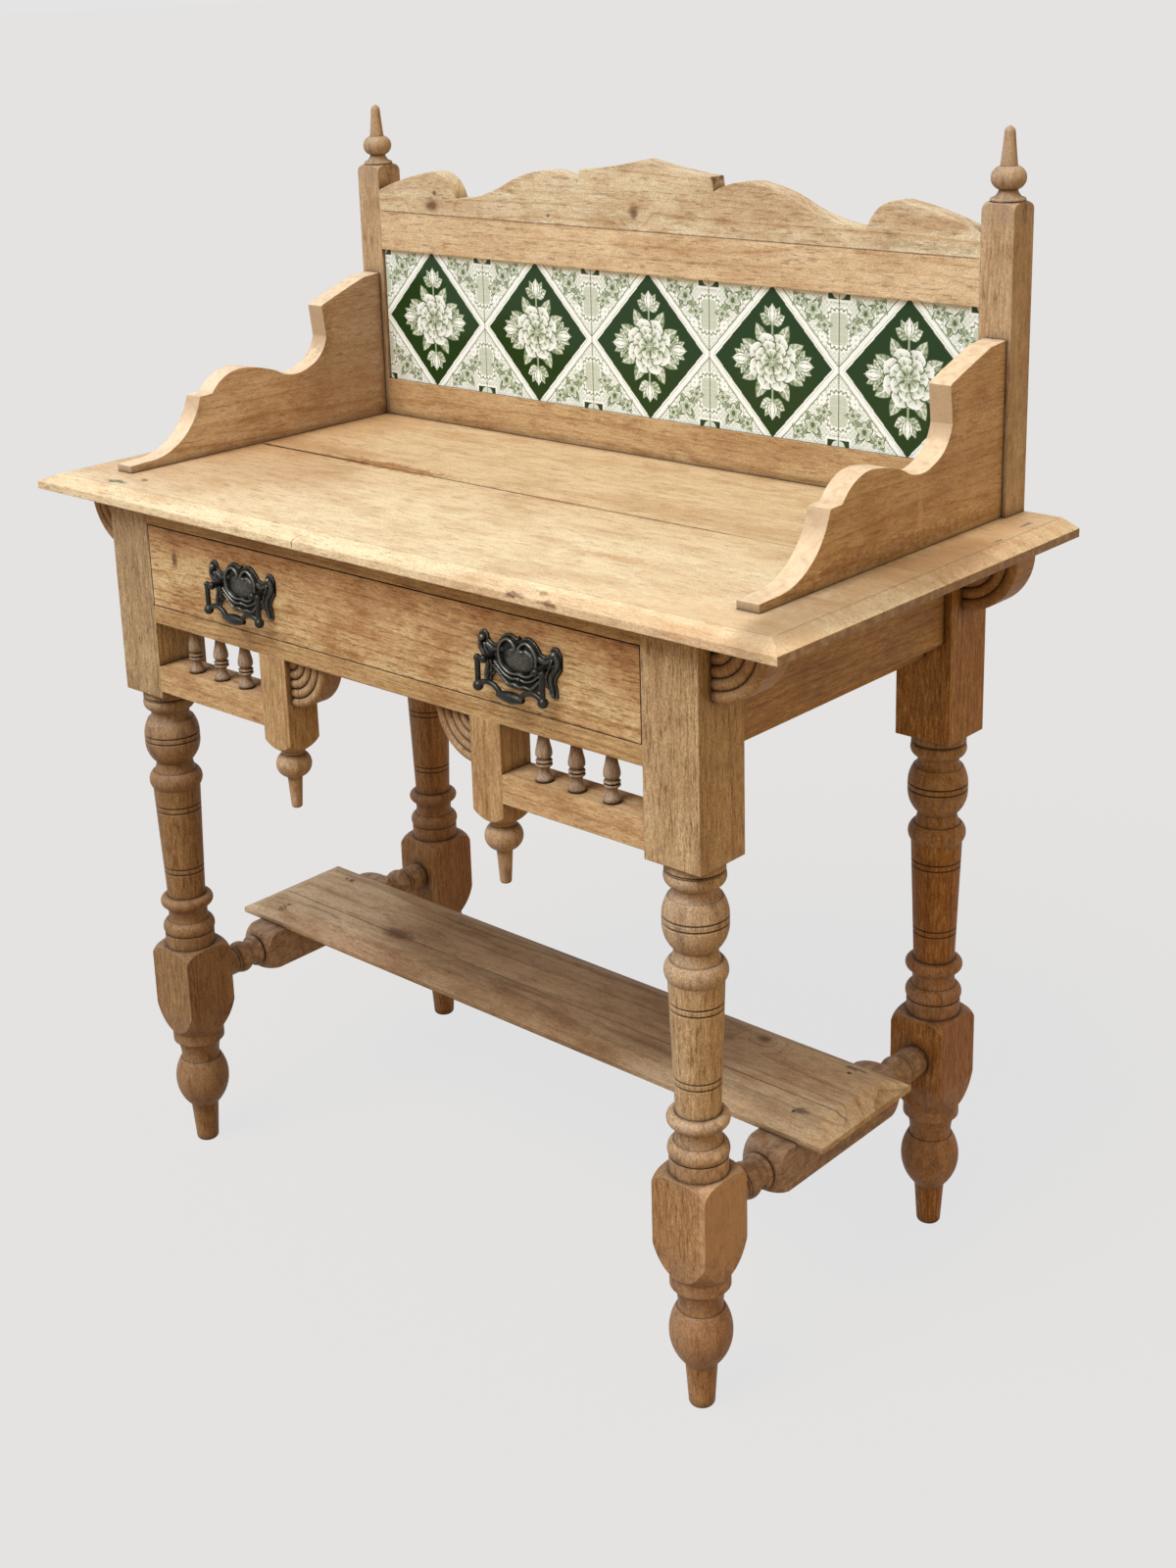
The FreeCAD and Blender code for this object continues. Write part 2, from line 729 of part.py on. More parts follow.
gallery_rails = {}
for side_name, side in SIDES:
    label = "gallery_rail_" + side_name
    y = (leg_front, leg_front + size.pendant_section)
    z = (bay_under, bay_floor)
    body = block(plain_name(label), span(side, pendant_outer, leg_inner), y, z)
    tenon_y = (y[0] + size.tenon_shoulder, y[1] - size.tenon_shoulder)
    middle = (z[0] + z[1]) / 2
    tenon_z = (middle - size.tenon_thickness / 2, middle + size.tenon_thickness / 2)
    into_leg = block(
        label + "_leg_tenon", span(side, leg_inner, leg_inner + size.tenon_length), tenon_y, tenon_z
    )
    into_post = block(
        label + "_post_tenon",
        span(side, pendant_outer - size.tenon_length / 2, pendant_outer),
        tenon_y,
        tenon_z,
    )
    whole = fuse(label + "_whole", [body, into_leg, into_post])
    gallery_rails[side_name] = keep(cut(label, whole, spindles[side_name]), label)
    label = "pendant_post_" + side_name
    pendants[side_name] = keep(cut(label, pendants[side_name], whole), label)

rail_y = (leg_front, leg_front + size.front_rail_depth)
drawer_rail_body = block(
    "drawer_rail_body", (-leg_inner, leg_inner), rail_y, (bay_ceiling, drawer_floor)
)
drawer_rail_tongues = []
for side_name, side in SIDES:
    middle = (bay_ceiling + drawer_floor) / 2
    drawer_rail_tongues.append(
        block(
            "drawer_rail_tenon_" + side_name,
            span(side, leg_inner, leg_inner + size.tenon_length),
            (rail_y[0] + size.tenon_shoulder, rail_y[1] - size.tenon_shoulder),
            (middle - size.tenon_thickness / 2, middle + size.tenon_thickness / 2),
        )
    )
drawer_rail_whole = fuse("drawer_rail_whole", [drawer_rail_body] + drawer_rail_tongues)
from_below = fuse("drawer_rail_sockets", list(pendants.values()) + list(spindles.values()))
drawer_rail = keep(cut("drawer_rail", drawer_rail_whole, from_below), "drawer_rail")


# the stretchers and the shelf
stretcher_axis = size.shelf_height - size.shelf_thickness - size.stretcher_section / 2
stretcher_length = back_leg_front - front_leg_back
shelf_middle = (front_leg_back + back_leg_front) / 2
turned_length = (stretcher_length - size.shelf_depth) / 2 - size.stretcher_block_margin


def stretcher_turning():
    """A square bar turned down to rings at both ends, along z here and laid down later."""
    corner = corner_radius(size.stretcher_section)
    reach = corner + float(size.cut_overrun)
    tenon = size.stretcher_tenon_diameter / 2
    plain = size.stretcher_end_diameter / 2
    ring = size.stretcher_ring_diameter / 2
    turned = float(turned_length)
    bar = Profile(-float(size.stretcher_tenon_length))
    bar.line(tenon)
    bar.line(tenon, size.stretcher_tenon_length)
    bar.line(plain * 0.94)
    bar.line(plain, turned * 0.1)
    bar.groove(plain)
    start = bar.height
    bar.line(plain, turned * 0.17)
    bar.groove(plain)
    bar.line(plain, turned * 0.02)
    bar.groove(plain)
    bar.curve(ring, plain * 0.92, turned * 0.2)
    bar.curve(plain * 0.86, plain * 0.94, turned * 0.1)
    bar.curve(ring, plain, turned * 0.1)
    shoulder = turned - bar.height
    bar.curve(corner * 0.88, corner, shoulder, 0.45)
    bar.line(reach)
    bar.line(reach, stretcher_length - turned_length * 2)
    bar.line(corner)
    bar.curve(corner * 0.88, plain, shoulder, 0.55)
    bar.curve(ring, plain * 0.94, turned * 0.1)
    bar.curve(plain * 0.86, plain * 0.92, turned * 0.1)
    bar.curve(ring, plain, turned * 0.2)
    bar.groove(plain)
    bar.line(plain, turned * 0.02)
    bar.groove(plain)
    bar.line(plain, turned * 0.17)
    bar.groove(plain)
    bar.line(plain * 0.94, stretcher_length - bar.height)
    bar.line(tenon)
    bar.line(tenon, size.stretcher_tenon_length)
    low = -size.stretcher_tenon_length
    return turned_square(bar.solid(), size.stretcher_section, low, stretcher_length - low)


stretcher_shape = stretcher_turning()
lay_down = Rotation(Vector(1, 0, 0), -90)
stretchers = {}
for side_name, side in SIDES:
    place = Placement(
        Vector(float(leg_middle) * side, float(front_leg_back), float(stretcher_axis)), lay_down
    )
    label = "stretcher_" + side_name
    stretchers[side_name] = feature(plain_name(label), stretcher_shape, place)


def bevelled_board(name, x, y, top, thickness, drop, insets):
    """A board with its upper edges bevelled: insets are the bevels at left, right, front, back."""
    left, right, front, back = insets
    edge_top = top - drop
    lower = block(name + "_edge", x, y, (top - thickness, edge_top))
    upper = doc.addObject("Part::Wedge", name + "_field")
    upper.Placement = Placement(Vector(), Rotation(Vector(1, 0, 0), 90))
    bounds = {
        "Xmin": x[0],
        "Xmax": x[1],
        "X2min": x[0] + left,
        "X2max": x[1] - right,
        "Zmin": -y[1],
        "Zmax": -y[0],
        "Z2min": -(y[1] - back),
        "Z2max": -(y[0] + front),
        "Ymin": edge_top,
        "Ymax": top,
    }
    for prop, bound in bounds.items():
        upper.setExpression(prop, text_of(bound))
    return fuse(name, [lower, upper])


shelf_front = shelf_middle - size.shelf_depth / 2
shelf_back = shelf_middle + size.shelf_depth / 2
shelf_seam = shelf_front + size.shelf_front_board_depth
shelf_end = leg_outer + size.shelf_overhang
shelf_x = (-shelf_end, shelf_end)
bevel = size.shelf_bevel_width
shelf_boards = {
    "shelf_front_board": ((shelf_front, shelf_seam), (bevel, bevel, bevel, ZERO)),
    "shelf_back_board": ((shelf_seam, shelf_back), (bevel, bevel, ZERO, bevel)),
}


def nail(name, x, y, top):
    """A cut nail driven flush: a flat head on a tapering shank."""
    head = float(size.nail_head_diameter) / 2
    deep = float(size.nail_length)
    shank = Part.makeCone(head * 0.25, head * 0.6, deep)
    cap = Part.makeCylinder(head, head * 0.5)
    cap.translate(Vector(0, 0, deep - head * 0.5))
    return feature(name, shank.fuse(cap).removeSplitter(), at(x, y, top - deep))


NAIL_ROWS = {"shelf_front_board": 0.5, "shelf_back_board": 0.68}
nails = []
for board_name, row_share in NAIL_ROWS.items():
    low, high = shelf_boards[board_name][0]
    for side_name, side in SIDES:
        y = low + (high - low) * row_share
        name = "nail_%s_%s" % (board_name, side_name)
        nails.append(nail(name, leg_middle * side, y, size.shelf_height))
shelf_nails = keep(group("shelf_nails", nails), "shelf_nails")
nail_holes = fuse("nail_holes", nails)
for board_name, (y, insets) in shelf_boards.items():
    blank = bevelled_board(
        plain_name(board_name),
        shelf_x,
        y,
        size.shelf_height,
        size.shelf_thickness,
        size.shelf_bevel_drop,
        insets,
    )
    keep(cut(board_name, blank, nail_holes), board_name)
for side_name, side in SIDES:
    label = "stretcher_" + side_name
    stretchers[side_name] = keep(cut(label, stretchers[side_name], nail_holes), label)

# the legs, with a mortise for each tenon that enters them
leg_shape = turned_square(leg_turning(), size.leg_section, ZERO, top_under)
for side_name, side in SIDES:
    x = leg_middle * side
    entering = {
        "front": [
            side_rails[side_name],
            stretchers[side_name],
            top_front_rail,
            drawer_rail,
            gallery_rails[side_name],
        ],
        "back": [side_rails[side_name], stretchers[side_name], back_rail],
    }
    for end_name, y in (("front", front_leg_y), ("back", back_leg_y)):
        label = "leg_%s_%s" % (end_name, side_name)
        blank = feature(plain_name(label), leg_shape, at(x, y, ZERO))
        tenons = fuse(label + "_mortises", entering[end_name])
        keep(cut(label, blank, tenons), label)


# the reeded quarter rounds
REED_SHARES = (0.24, 0.43, 0.62, 0.81, 1.0)


def reeded_quarter(radius, depth):
    """A quarter of a turned disc, about y, whose front face is worked into round reeds."""
    radius = float(radius)
    depth = float(depth)
    relief = float(size.reed_relief)
    edges = []
    inner = 0.0
    front = Vector(0, 0, 0)
    for share in REED_SHARES:
        outer = radius * share
        low = Vector(outer, relief, 0)
        if inner == 0.0:
            middle = Vector(outer * 0.75, relief * 0.2, 0)
        else:
            middle = Vector((inner + outer) / 2, 0, 0)
        edges.append(Part.Arc(front, middle, low).toShape())
        front = low
        inner = outer
    edges.append(Part.LineSegment(front, Vector(radius, depth, 0)).toShape())
    edges.append(Part.LineSegment(Vector(radius, depth, 0), Vector(0, depth, 0)).toShape())
    edges.append(Part.LineSegment(Vector(0, depth, 0), Vector(0, 0, 0)).toShape())
    face = Part.Face(Part.Wire(edges))
    return face.revolve(Vector(), Vector(0, 1, 0), 90)


fan_shape = reeded_quarter(size.fan_radius, size.fan_depth)
bracket_shape = reeded_quarter(size.bracket_radius, size.bracket_depth)
bracket_strips = {"front": size.bracket_strip_front, "back": size.bracket_strip_back}
quarter_turns = {1: 0, -1: 90}
for side_name, side in SIDES:
    turn = Rotation(Vector(0, 1, 0), quarter_turns[-side])
    place = Placement(
        Vector(
            float(pendant_inner) * side,
            float(leg_front + size.fan_setback),
            float(bay_ceiling),
        ),
        turn,
    )
    label = "fan_bracket_" + side_name
    keep(feature(label, fan_shape, place), label)
    for end_name, leg_y in (("front", front_leg_y), ("back", back_leg_y)):
        turn = Rotation(Vector(0, 1, 0), quarter_turns[side])
        y = leg_y - size.leg_section / 2 + size.bracket_setback
        z = top_under - bracket_strips[end_name]
        place = Placement(Vector(float(leg_outer) * side, float(y), float(z)), turn)
        label = "corner_bracket_%s_%s" % (end_name, side_name)
        reeds = feature(plain_name(label), bracket_shape, place)
        strip = block(
            label + "_strip",
            span(side, leg_outer, leg_outer + size.bracket_radius),
            (y + size.reed_relief, y + size.bracket_depth),
            (z, top_under),
        )
        keep(fuse(label, [reeds, strip]), label)


# the tiled back
def post_turning():
    """An end post and its finial in one turning."""
    corner = corner_radius(size.post_section)
    reach = corner + float(size.cut_overrun)
    step = size.fillet_step
    tip = size.finial_tip_diameter / 2
    post = Profile()
    post.line(reach)
    post.line(reach, size.post_face_height)
    post.line(corner)
    post.curve(corner * 0.9, size.finial_collar_diameter / 2, size.post_shoulder_height, 0.7)
    post.curve(
        size.finial_collar_diameter / 2 + step * 0.5,
        size.finial_collar_diameter / 2 - step,
        size.finial_collar_height,
    )
    post.line(post.radius - float(step))
    post.curve(
        size.finial_neck_diameter / 2 + step,
        size.finial_neck_diameter / 2,
        size.finial_neck_height,
        0.55,
    )
    post.line(post.radius + float(step))
    post.curve(
        size.finial_ball_diameter / 2,
        size.finial_spire_diameter / 2 + step,
        size.finial_ball_height,
        0.52,
    )
    post.line(size.finial_spire_diameter / 2)
    post.curve(
        (size.finial_spire_diameter + size.finial_tip_diameter) * 0.245,
        tip,
        size.finial_spire_height - tip,
    )
    post.curve(tip * 0.75, tip * 0.2, tip, 0.6)
    tall = post.height
    return post.solid().common(square_stock(size.post_section, ZERO, Length("0", tall)))


tile_field = (-(size.tile_side * size.tile_count / 2), size.tile_side * size.tile_count / 2)
backing_y = (tile_back, tile_back + size.backing_thickness)
rebate = block(
    "tile_rebate",
    tile_field,
    (tile_face, backing_y[1] + size.cut_overrun),
    (tile_low, tile_high),
)
post_groove = block("post_groove", tile_field, (tile_face, backing_y[1]), (tile_low, tile_high))


# the shaped side boards
def gallery_outline():
    """The side board seen from the right: y forwards to back, z up from the top."""
    back = float(post_front)
    base = float(size.top_height)
    long = float(gallery_length)

    def spot(share, height):
        return Vector(0, back - long * (1 - share), base + float(height))

    toe_low = spot(0, 0)
    toe = spot(0, size.gallery_toe_height)
    flat_end = spot(0.06, size.gallery_toe_height * 1.1)
    step_low = spot(0.261, size.gallery_step_height * 0.94)
    step_top = spot(0.265, size.gallery_step_height)
    step_in = spot(0.31, size.gallery_step_height * 1.01)
    hump = spot(0.43, size.gallery_hump_height)
    slope = spot(0.56, (size.gallery_hump_height + size.gallery_valley_height) * 0.49)
    valley = spot(0.628, size.gallery_valley_height)
    throat = spot(0.764, (size.gallery_valley_height + size.gallery_horn_height) / 2)
    horn = spot(0.753, size.gallery_horn_height)
    lip = spot(0.757, size.gallery_horn_height * 1.01)
    crown = spot(0.93, size.gallery_back_height * 0.985)
    back_top = spot(1, size.gallery_back_height)
    back_low = spot(1, 0)
    edges = [
        Part.LineSegment(toe_low, toe),
        Part.LineSegment(toe, flat_end),
        Part.Arc(flat_end, spot(0.188, size.gallery_step_height * 0.36), step_low),
        Part.LineSegment(step_low, step_top),
        Part.LineSegment(step_top, step_in),
        Part.Arc(step_in, spot(0.353, size.gallery_hump_height * 0.92), hump),
        Part.Arc(hump, spot(0.497, size.gallery_hump_height * 0.955), slope),
        Part.Arc(slope, valley, spot(0.69, size.gallery_valley_height * 1.07)),
        Part.Arc(
            spot(0.69, size.gallery_valley_height * 1.07),
            spot(0.737, size.gallery_valley_height * 1.23),
            throat,
        ),
        Part.LineSegment(throat, horn),
        Part.LineSegment(horn, lip),
        Part.Arc(lip, spot(0.845, size.gallery_back_height * 0.92), crown),
        Part.LineSegment(crown, back_top),
        Part.LineSegment(back_top, back_low),
        Part.LineSegment(back_low, toe_low),
    ]
    return Part.Face(Part.Wire([edge.toShape() for edge in edges]))


gallery_face = gallery_outline()
gallery_inner = post_outer - size.gallery_post_setback - size.gallery_thickness
gallery_blanks = {}
for side_name, side in SIDES:
    low, high = span(side, gallery_inner, gallery_inner + size.gallery_thickness)
    solid = gallery_face.extrude(Vector(float(size.gallery_thickness), 0, 0))
    solid.translate(Vector(float(low), 0, 0))
    gallery_blanks[side_name] = feature("side_gallery_blank_" + side_name, solid)


# screws up through the top into the posts and side boards
def screw(name, x, y):
    """A wood screw, head down, flush with the underside of the top."""
    head = float(size.screw_head_diameter) / 2
    shank = float(size.screw_diameter) / 2
    tall = float(size.screw_length)
    sunk = Part.makeCone(head, shank, head - shank)
    stem = Part.makeCylinder(shank, tall * 0.8)
    point = Part.makeCone(shank, shank * 0.1, tall * 0.2)
    point.translate(Vector(0, 0, tall * 0.8))
    return feature(name, sunk.fuse([stem, point]).removeSplitter(), at(x, y, top_under))


SCREW_SHARES = (0.3, 0.75)
screws = []
for side_name, side in SIDES:
    middle = (gallery_inner + size.gallery_thickness / 2) * side
    screws.append(
        screw(
            "screw_post_" + side_name,
            (post_inner + size.post_section / 2) * side,
            post_front + size.post_section / 2,
        )
    )
    for number, share in enumerate(SCREW_SHARES):
        y = post_front - gallery_length * (1 - share)
        screws.append(screw("screw_gallery_%s_%d" % (side_name, number), middle, y))
top_screws = keep(group("top_screws", screws), "top_screws")
screw_holes = fuse("screw_holes", screws)

post_shape = post_turning()
for side_name, side in SIDES:
    x = (post_inner + size.post_section / 2) * side
    y = post_front + size.post_section / 2
    blank = feature("splash_post_blank_" + side_name, post_shape, at(x, y, size.top_height))
    label = "splash_post_" + side_name
    worked = fuse(label + "_cuts", [post_groove, screw_holes])
    keep(cut(label, blank, worked), label)
    label = "side_gallery_" + side_name
    keep(cut(label, gallery_blanks[side_name], screw_holes), label)

rail_span = (-post_inner, post_inner)
rail_faces = (post_front, post_front + size.splash_rail_thickness)
bottom_rail = block(
    "splash_bottom_rail_blank",
    rail_span,
    rail_faces,
    (size.top_height, size.top_height + size.splash_bottom_rail_height),
)
keep(cut("splash_bottom_rail", bottom_rail, rebate), "splash_bottom_rail")
top_rail = block("splash_top_rail_blank", rail_span, rail_faces, (splash_joint, crest_low))
keep(cut("splash_top_rail", top_rail, rebate), "splash_top_rail")
keep(block("tile_backing", tile_field, backing_y, (tile_low, tile_high)), "tile_backing")
for number in range(1, int(float(size.tile_count)) + 1):
    left = tile_field[0] + size.tile_side * (number - 1)
    label = "tile_%d" % number
    keep(block(label, (left, left + size.tile_side), (tile_face, tile_back), (tile_low, tile_high)), label)

# the crest: a sketch of its outline on the board's own face, padded to its thickness
crest_body = doc.addObject("PartDesign::Body", "crest_board")
crest_sketch = crest_body.newObject("Sketcher::SketchObject", "crest_outline")
for origin_plane in crest_body.Origin.OriginFeatures:
    if origin_plane.Role == "XZ_Plane":
        crest_sketch.AttachmentSupport = (origin_plane, "")
crest_sketch.MapMode = "FlatFace"


def crest_edges():
    """Half the scalloped outline from the middle outwards, then the same mirrored."""
    half = float(post_inner)

    def spot(share, height):
        return Vector(half * share, float(height), 0)

    peak = spot(0, size.crest_peak_height)
    step_top = spot(0.222, size.crest_step_height)
    step_low = spot(0.228, size.crest_notch_height)
    hump_in = spot(0.27, size.crest_notch_height + (size.crest_hump_height - size.crest_notch_height) * 0.62)
    hump = spot(0.345, size.crest_hump_height)
    slope = spot(0.5, (size.crest_hump_height + size.crest_valley_height) / 2)
    valley = spot(0.69, size.crest_valley_height)
    wing = spot(0.79, size.crest_wing_height)
    end = spot(1, size.crest_end_height)
    low = spot(1, 0)
    right = [
        (peak, spot(0.12, size.crest_peak_height * 0.877), step_top),
        (step_top, None, step_low),
        (step_low, hump_in, hump),
        (hump, spot(0.42, size.crest_hump_height * 0.9), slope),
        (slope, spot(0.59, size.crest_valley_height * 1.26), valley),
        (valley, spot(0.73, size.crest_wing_height * 0.89), wing),
        (wing, spot(0.895, size.crest_wing_height * 0.8), end),
        (end, None, low),
    ]

    def flip(place):
        return None if place is None else Vector(-place.x, place.y, 0)

    left = [(flip(c), flip(b), flip(a)) for a, b, c in reversed(right)]
    return right + [(low, None, flip(low))] + left


for start, middle, end in crest_edges():
    if middle is None:
        crest_sketch.addGeometry(Part.LineSegment(start, end), False)
    else:
        crest_sketch.addGeometry(Part.Arc(start, middle, end), False)
crest_pad = crest_body.newObject("PartDesign::Pad", "crest_pad")
crest_pad.Profile = crest_sketch
crest_pad.setExpression("Length", text_of(size.crest_thickness))
crest_pad.Reversed = True
crest_body.setExpression("Placement.Base.y", text_of(post_front))
crest_body.setExpression("Placement.Base.z", text_of(crest_low))
keep(crest_body, "crest_board")

# the top
plank_seam = top_back - size.rear_plank_depth
bevel = size.top_bevel_width
planks = {
    "top_front_board": ((top_front, plank_seam), (bevel, bevel, bevel, ZERO)),
    "top_back_board": ((plank_seam, top_back), (bevel, bevel, ZERO, ZERO)),
}
for label, (y, insets) in planks.items():
    blank = bevelled_board(
        plain_name(label),
        (-top_end, top_end),
        y,
        size.top_height,
        size.top_thickness,
        size.top_bevel_drop,
        insets,
    )
    keep(cut(label, blank, screw_holes), label)

# what the drawer runs on, and the blocks under the top
inside_front = leg_front + size.front_rail_depth
inside_back = back_rail_y[0]
rail_inside = leg_outer - size.rail_setback - size.rail_thickness
for side_name, side in SIDES:
    runner_x = span(side, rail_inside - size.runner_width, rail_inside)
    runner_z = (drawer_floor - size.drawer_rail_thickness, drawer_floor)
    runner_y = (inside_front, inside_back)
    label = "drawer_runner_" + side_name
    runner = block(plain_name(label), runner_x, runner_y, runner_z)
    notch = fuse(
        label + "_notches",
        [piece for piece in nodes if piece.Label.startswith("leg_") and piece.Label.endswith(side_name)],
    )
    keep(cut(label, runner, notch), label)
    guide_x = span(side, leg_inner, rail_inside)
    label = "drawer_guide_" + side_name
    keep(
        block(
            label,
            guide_x,
            (front_leg_back, back_leg_front),
            (drawer_floor, drawer_floor + size.guide_height),
        ),
        label,
    )
    label = "drawer_kicker_" + side_name
    kicker_x = span(side, leg_inner - size.kicker_width, leg_inner)
    kicker_z = (top_under - size.top_rail_thickness, top_under)
    keep(block(label, kicker_x, (inside_front, inside_back), kicker_z), label)

BLOCK_SHARES = (0.3, 0.7)
blocks = []
block_z = (top_under - size.glue_block_side, top_under)
for side_name, side in SIDES:
    for number, share in enumerate(BLOCK_SHARES):
        middle = front_leg_back + (back_leg_front - front_leg_back) * share
        y = (middle - size.glue_block_length / 2, middle + size.glue_block_length / 2)
        x = span(side, leg_inner, rail_inside)
        blocks.append(block("side_block_%s_%d" % (side_name, number), x, y, block_z))
    middle = leg_inner * side / 2
    x = (middle - size.glue_block_length / 2, middle + size.glue_block_length / 2)
    y = (back_rail_y[0] - size.glue_block_side, back_rail_y[0])
    blocks.append(block("back_block_" + side_name, x, y, block_z))
keep(group("glue_blocks", blocks), "glue_blocks")

# the drawer
front_x = (-(leg_inner - size.drawer_side_gap), leg_inner - size.drawer_side_gap)
drawer_low = drawer_floor + size.drawer_seat_gap
drawer_high = drawer_ceiling - size.drawer_top_gap
side_high = drawer_ceiling - size.drawer_side_drop
front_back = leg_front + size.drawer_front_thickness
drawer_end = inside_back - size.drawer_back_gap
box_outer = leg_inner - size.drawer_side_gap - size.drawer_guide_gap
box_inner = box_outer - size.drawer_side_thickness
panel_z = (
    drawer_low + size.drawer_bottom_rise,
    drawer_low + size.drawer_bottom_rise + size.drawer_bottom_thickness,
)
panel_x = (-(box_inner + size.drawer_groove_depth), box_inner + size.drawer_groove_depth)
panel_y = (front_back - size.drawer_groove_depth, drawer_end)
drawer_bottom = keep(block("drawer_bottom", panel_x, panel_y, panel_z), "drawer_bottom")
drawer_front_blank = block("drawer_front_blank", front_x, (leg_front, front_back), (drawer_low, drawer_high))
for side_name, side in SIDES:
    label = "drawer_side_" + side_name
    blank = block(
        plain_name(label),
        span(side, box_inner, box_outer),
        (front_back, drawer_end),
        (drawer_low, side_high),
    )
    keep(cut(label, blank, drawer_bottom), label)
drawer_back = block(
    "drawer_back_panel",
    (-box_inner, box_inner),
    (drawer_end - size.drawer_side_thickness, drawer_end),
    (panel_z[1], side_high),
)
keep(drawer_back, "drawer_back")


# the handles
PLATE_SHARES = (
    (0.0, 0.41),
    (0.1, 0.49),
    (0.24, 0.515),
    (0.4, 0.42),
    (0.48, 0.28),
    (0.58, 0.2),
    (0.72, 0.24),
    (0.83, 0.39),
    (0.93, 0.44),
    (1.0, 0.36),
    (0.97, 0.24),
    (0.88, 0.1),
    (0.82, -0.02),
    (0.85, -0.2),
    (0.875, -0.36),
    (0.8, -0.45),
    (0.71, -0.38),
    (0.66, -0.22),
    (0.55, -0.2),
    (0.36, -0.3),
    (0.16, -0.41),
    (0.0, -0.42),
)
SCROLL_SHARES = (
    ((0.0, -0.2), (0.3, -0.16), (0.45, 0.05)),
    ((0.45, 0.05), (0.43, 0.33), (0.24, 0.45)),
    ((0.24, 0.45), (0.1, 0.42), (0.08, 0.26)),
    ((0.66, 0.02), (0.42, -0.2), (0.13, -0.35)),
    ((0.13, -0.35), (0.07, -0.38), (0.0, -0.34)),
)
LIMB_SHARES = ((0.92, 0.34), (0.76, 0.02), (0.79, -0.38))
BEAD_SHARES = ((0.12, 0.24), (0.5, -0.03), (0.06, -0.28), (0.0, 0.43))


def plate_spot(share, height, depth=0.0):
    half = float(size.plate_width) / 2
    return Vector(half * share, depth, float(size.plate_height) * height)


def ball(centre, diameter):
    solid = Part.makeSphere(float(diameter) / 2)
    solid.translate(centre)
    return solid


def bent_rod(start, middle, end, diameter):
    """A round rod along the arc through three points: a disc turned about the arc's centre."""
    arc = Part.Arc(start, middle, end).toShape()
    circle = arc.Curve
    rim = Part.Circle(start, arc.tangentAt(arc.FirstParameter), float(diameter) / 2).toShape()
    turn = math.degrees(arc.LastParameter - arc.FirstParameter)
    return Part.Face(Part.Wire([rim])).revolve(circle.Center, circle.Axis, turn)


def plate_outline():
    """The scrolled outline: two lobes on top, ears at the sides and tails below."""
    right = [plate_spot(share, height) for share, height in PLATE_SHARES]
    left = [Vector(-place.x, 0, place.z) for place in reversed(right[1:-1])]
    outline = Part.BSplineCurve()
    outline.interpolate(right + left, PeriodicFlag=True)
    return Part.Face(Part.Wire([outline.toShape()]))


def boss_solid():
    """The swelling in the middle: a shallow cap of a sphere, squeezed to an oval."""
    rise = float(size.boss_rise)
    half = float(size.boss_width) / 2
    front = -float(size.plate_thickness)
    radius = (half * half + rise * rise) / (2 * rise)
    sphere = ball(Vector(0, front - rise + radius, 0), 2 * radius)
    slab = Part.makeBox(2 * half, rise - front / 2, 2 * half)
    slab.translate(Vector(-half, front - rise, -half))
    squeeze = FreeCAD.Matrix()
    squeeze.scale(Vector(1, 1, float(size.plate_height) * 0.56 / (2 * half)))
    cap = sphere.common(slab).transformGeometry(squeeze)
    cap.translate(plate_spot(0, 0.09))
    return cap


def plate_solid():
    """The flat plate with its boss, raised scrolls, rounded limbs and beads."""
    depth = -float(size.plate_thickness)
    limb_depth = -float(size.limb_diameter) * 0.42
    bulge = 1.08
    plate = plate_outline().extrude(Vector(0, depth, 0))
    raised = [boss_solid()]
    for side in (-1, 1):
        for arc in SCROLL_SHARES:
            points = [plate_spot(share * side, height, depth) for share, height in arc]
            raised.append(bent_rod(*points, size.rib_diameter))
            raised.append(ball(points[2], size.rib_diameter * bulge))
        points = [plate_spot(share * side, height, limb_depth) for share, height in LIMB_SHARES]
        raised.append(bent_rod(*points, size.limb_diameter))
        raised.append(ball(points[0], size.limb_diameter * bulge * bulge))
        raised.append(ball(points[2], size.limb_diameter * bulge))
        for share, height in BEAD_SHARES:
            raised.append(ball(plate_spot(share * side, height, depth), size.bead_diameter))
    room = float(size.plate_width)
    front_room = Part.makeBox(2 * room, room, 2 * room)
    front_room.translate(Vector(-room, -room, -room))
    return plate.fuse(raised).common(front_room).removeSplitter()


stud_offset = (
    size.bail_span / 2
    - size.bail_eye_diameter / 2
    - size.stud_diameter / 2
    - size.bail_side_clearance
)


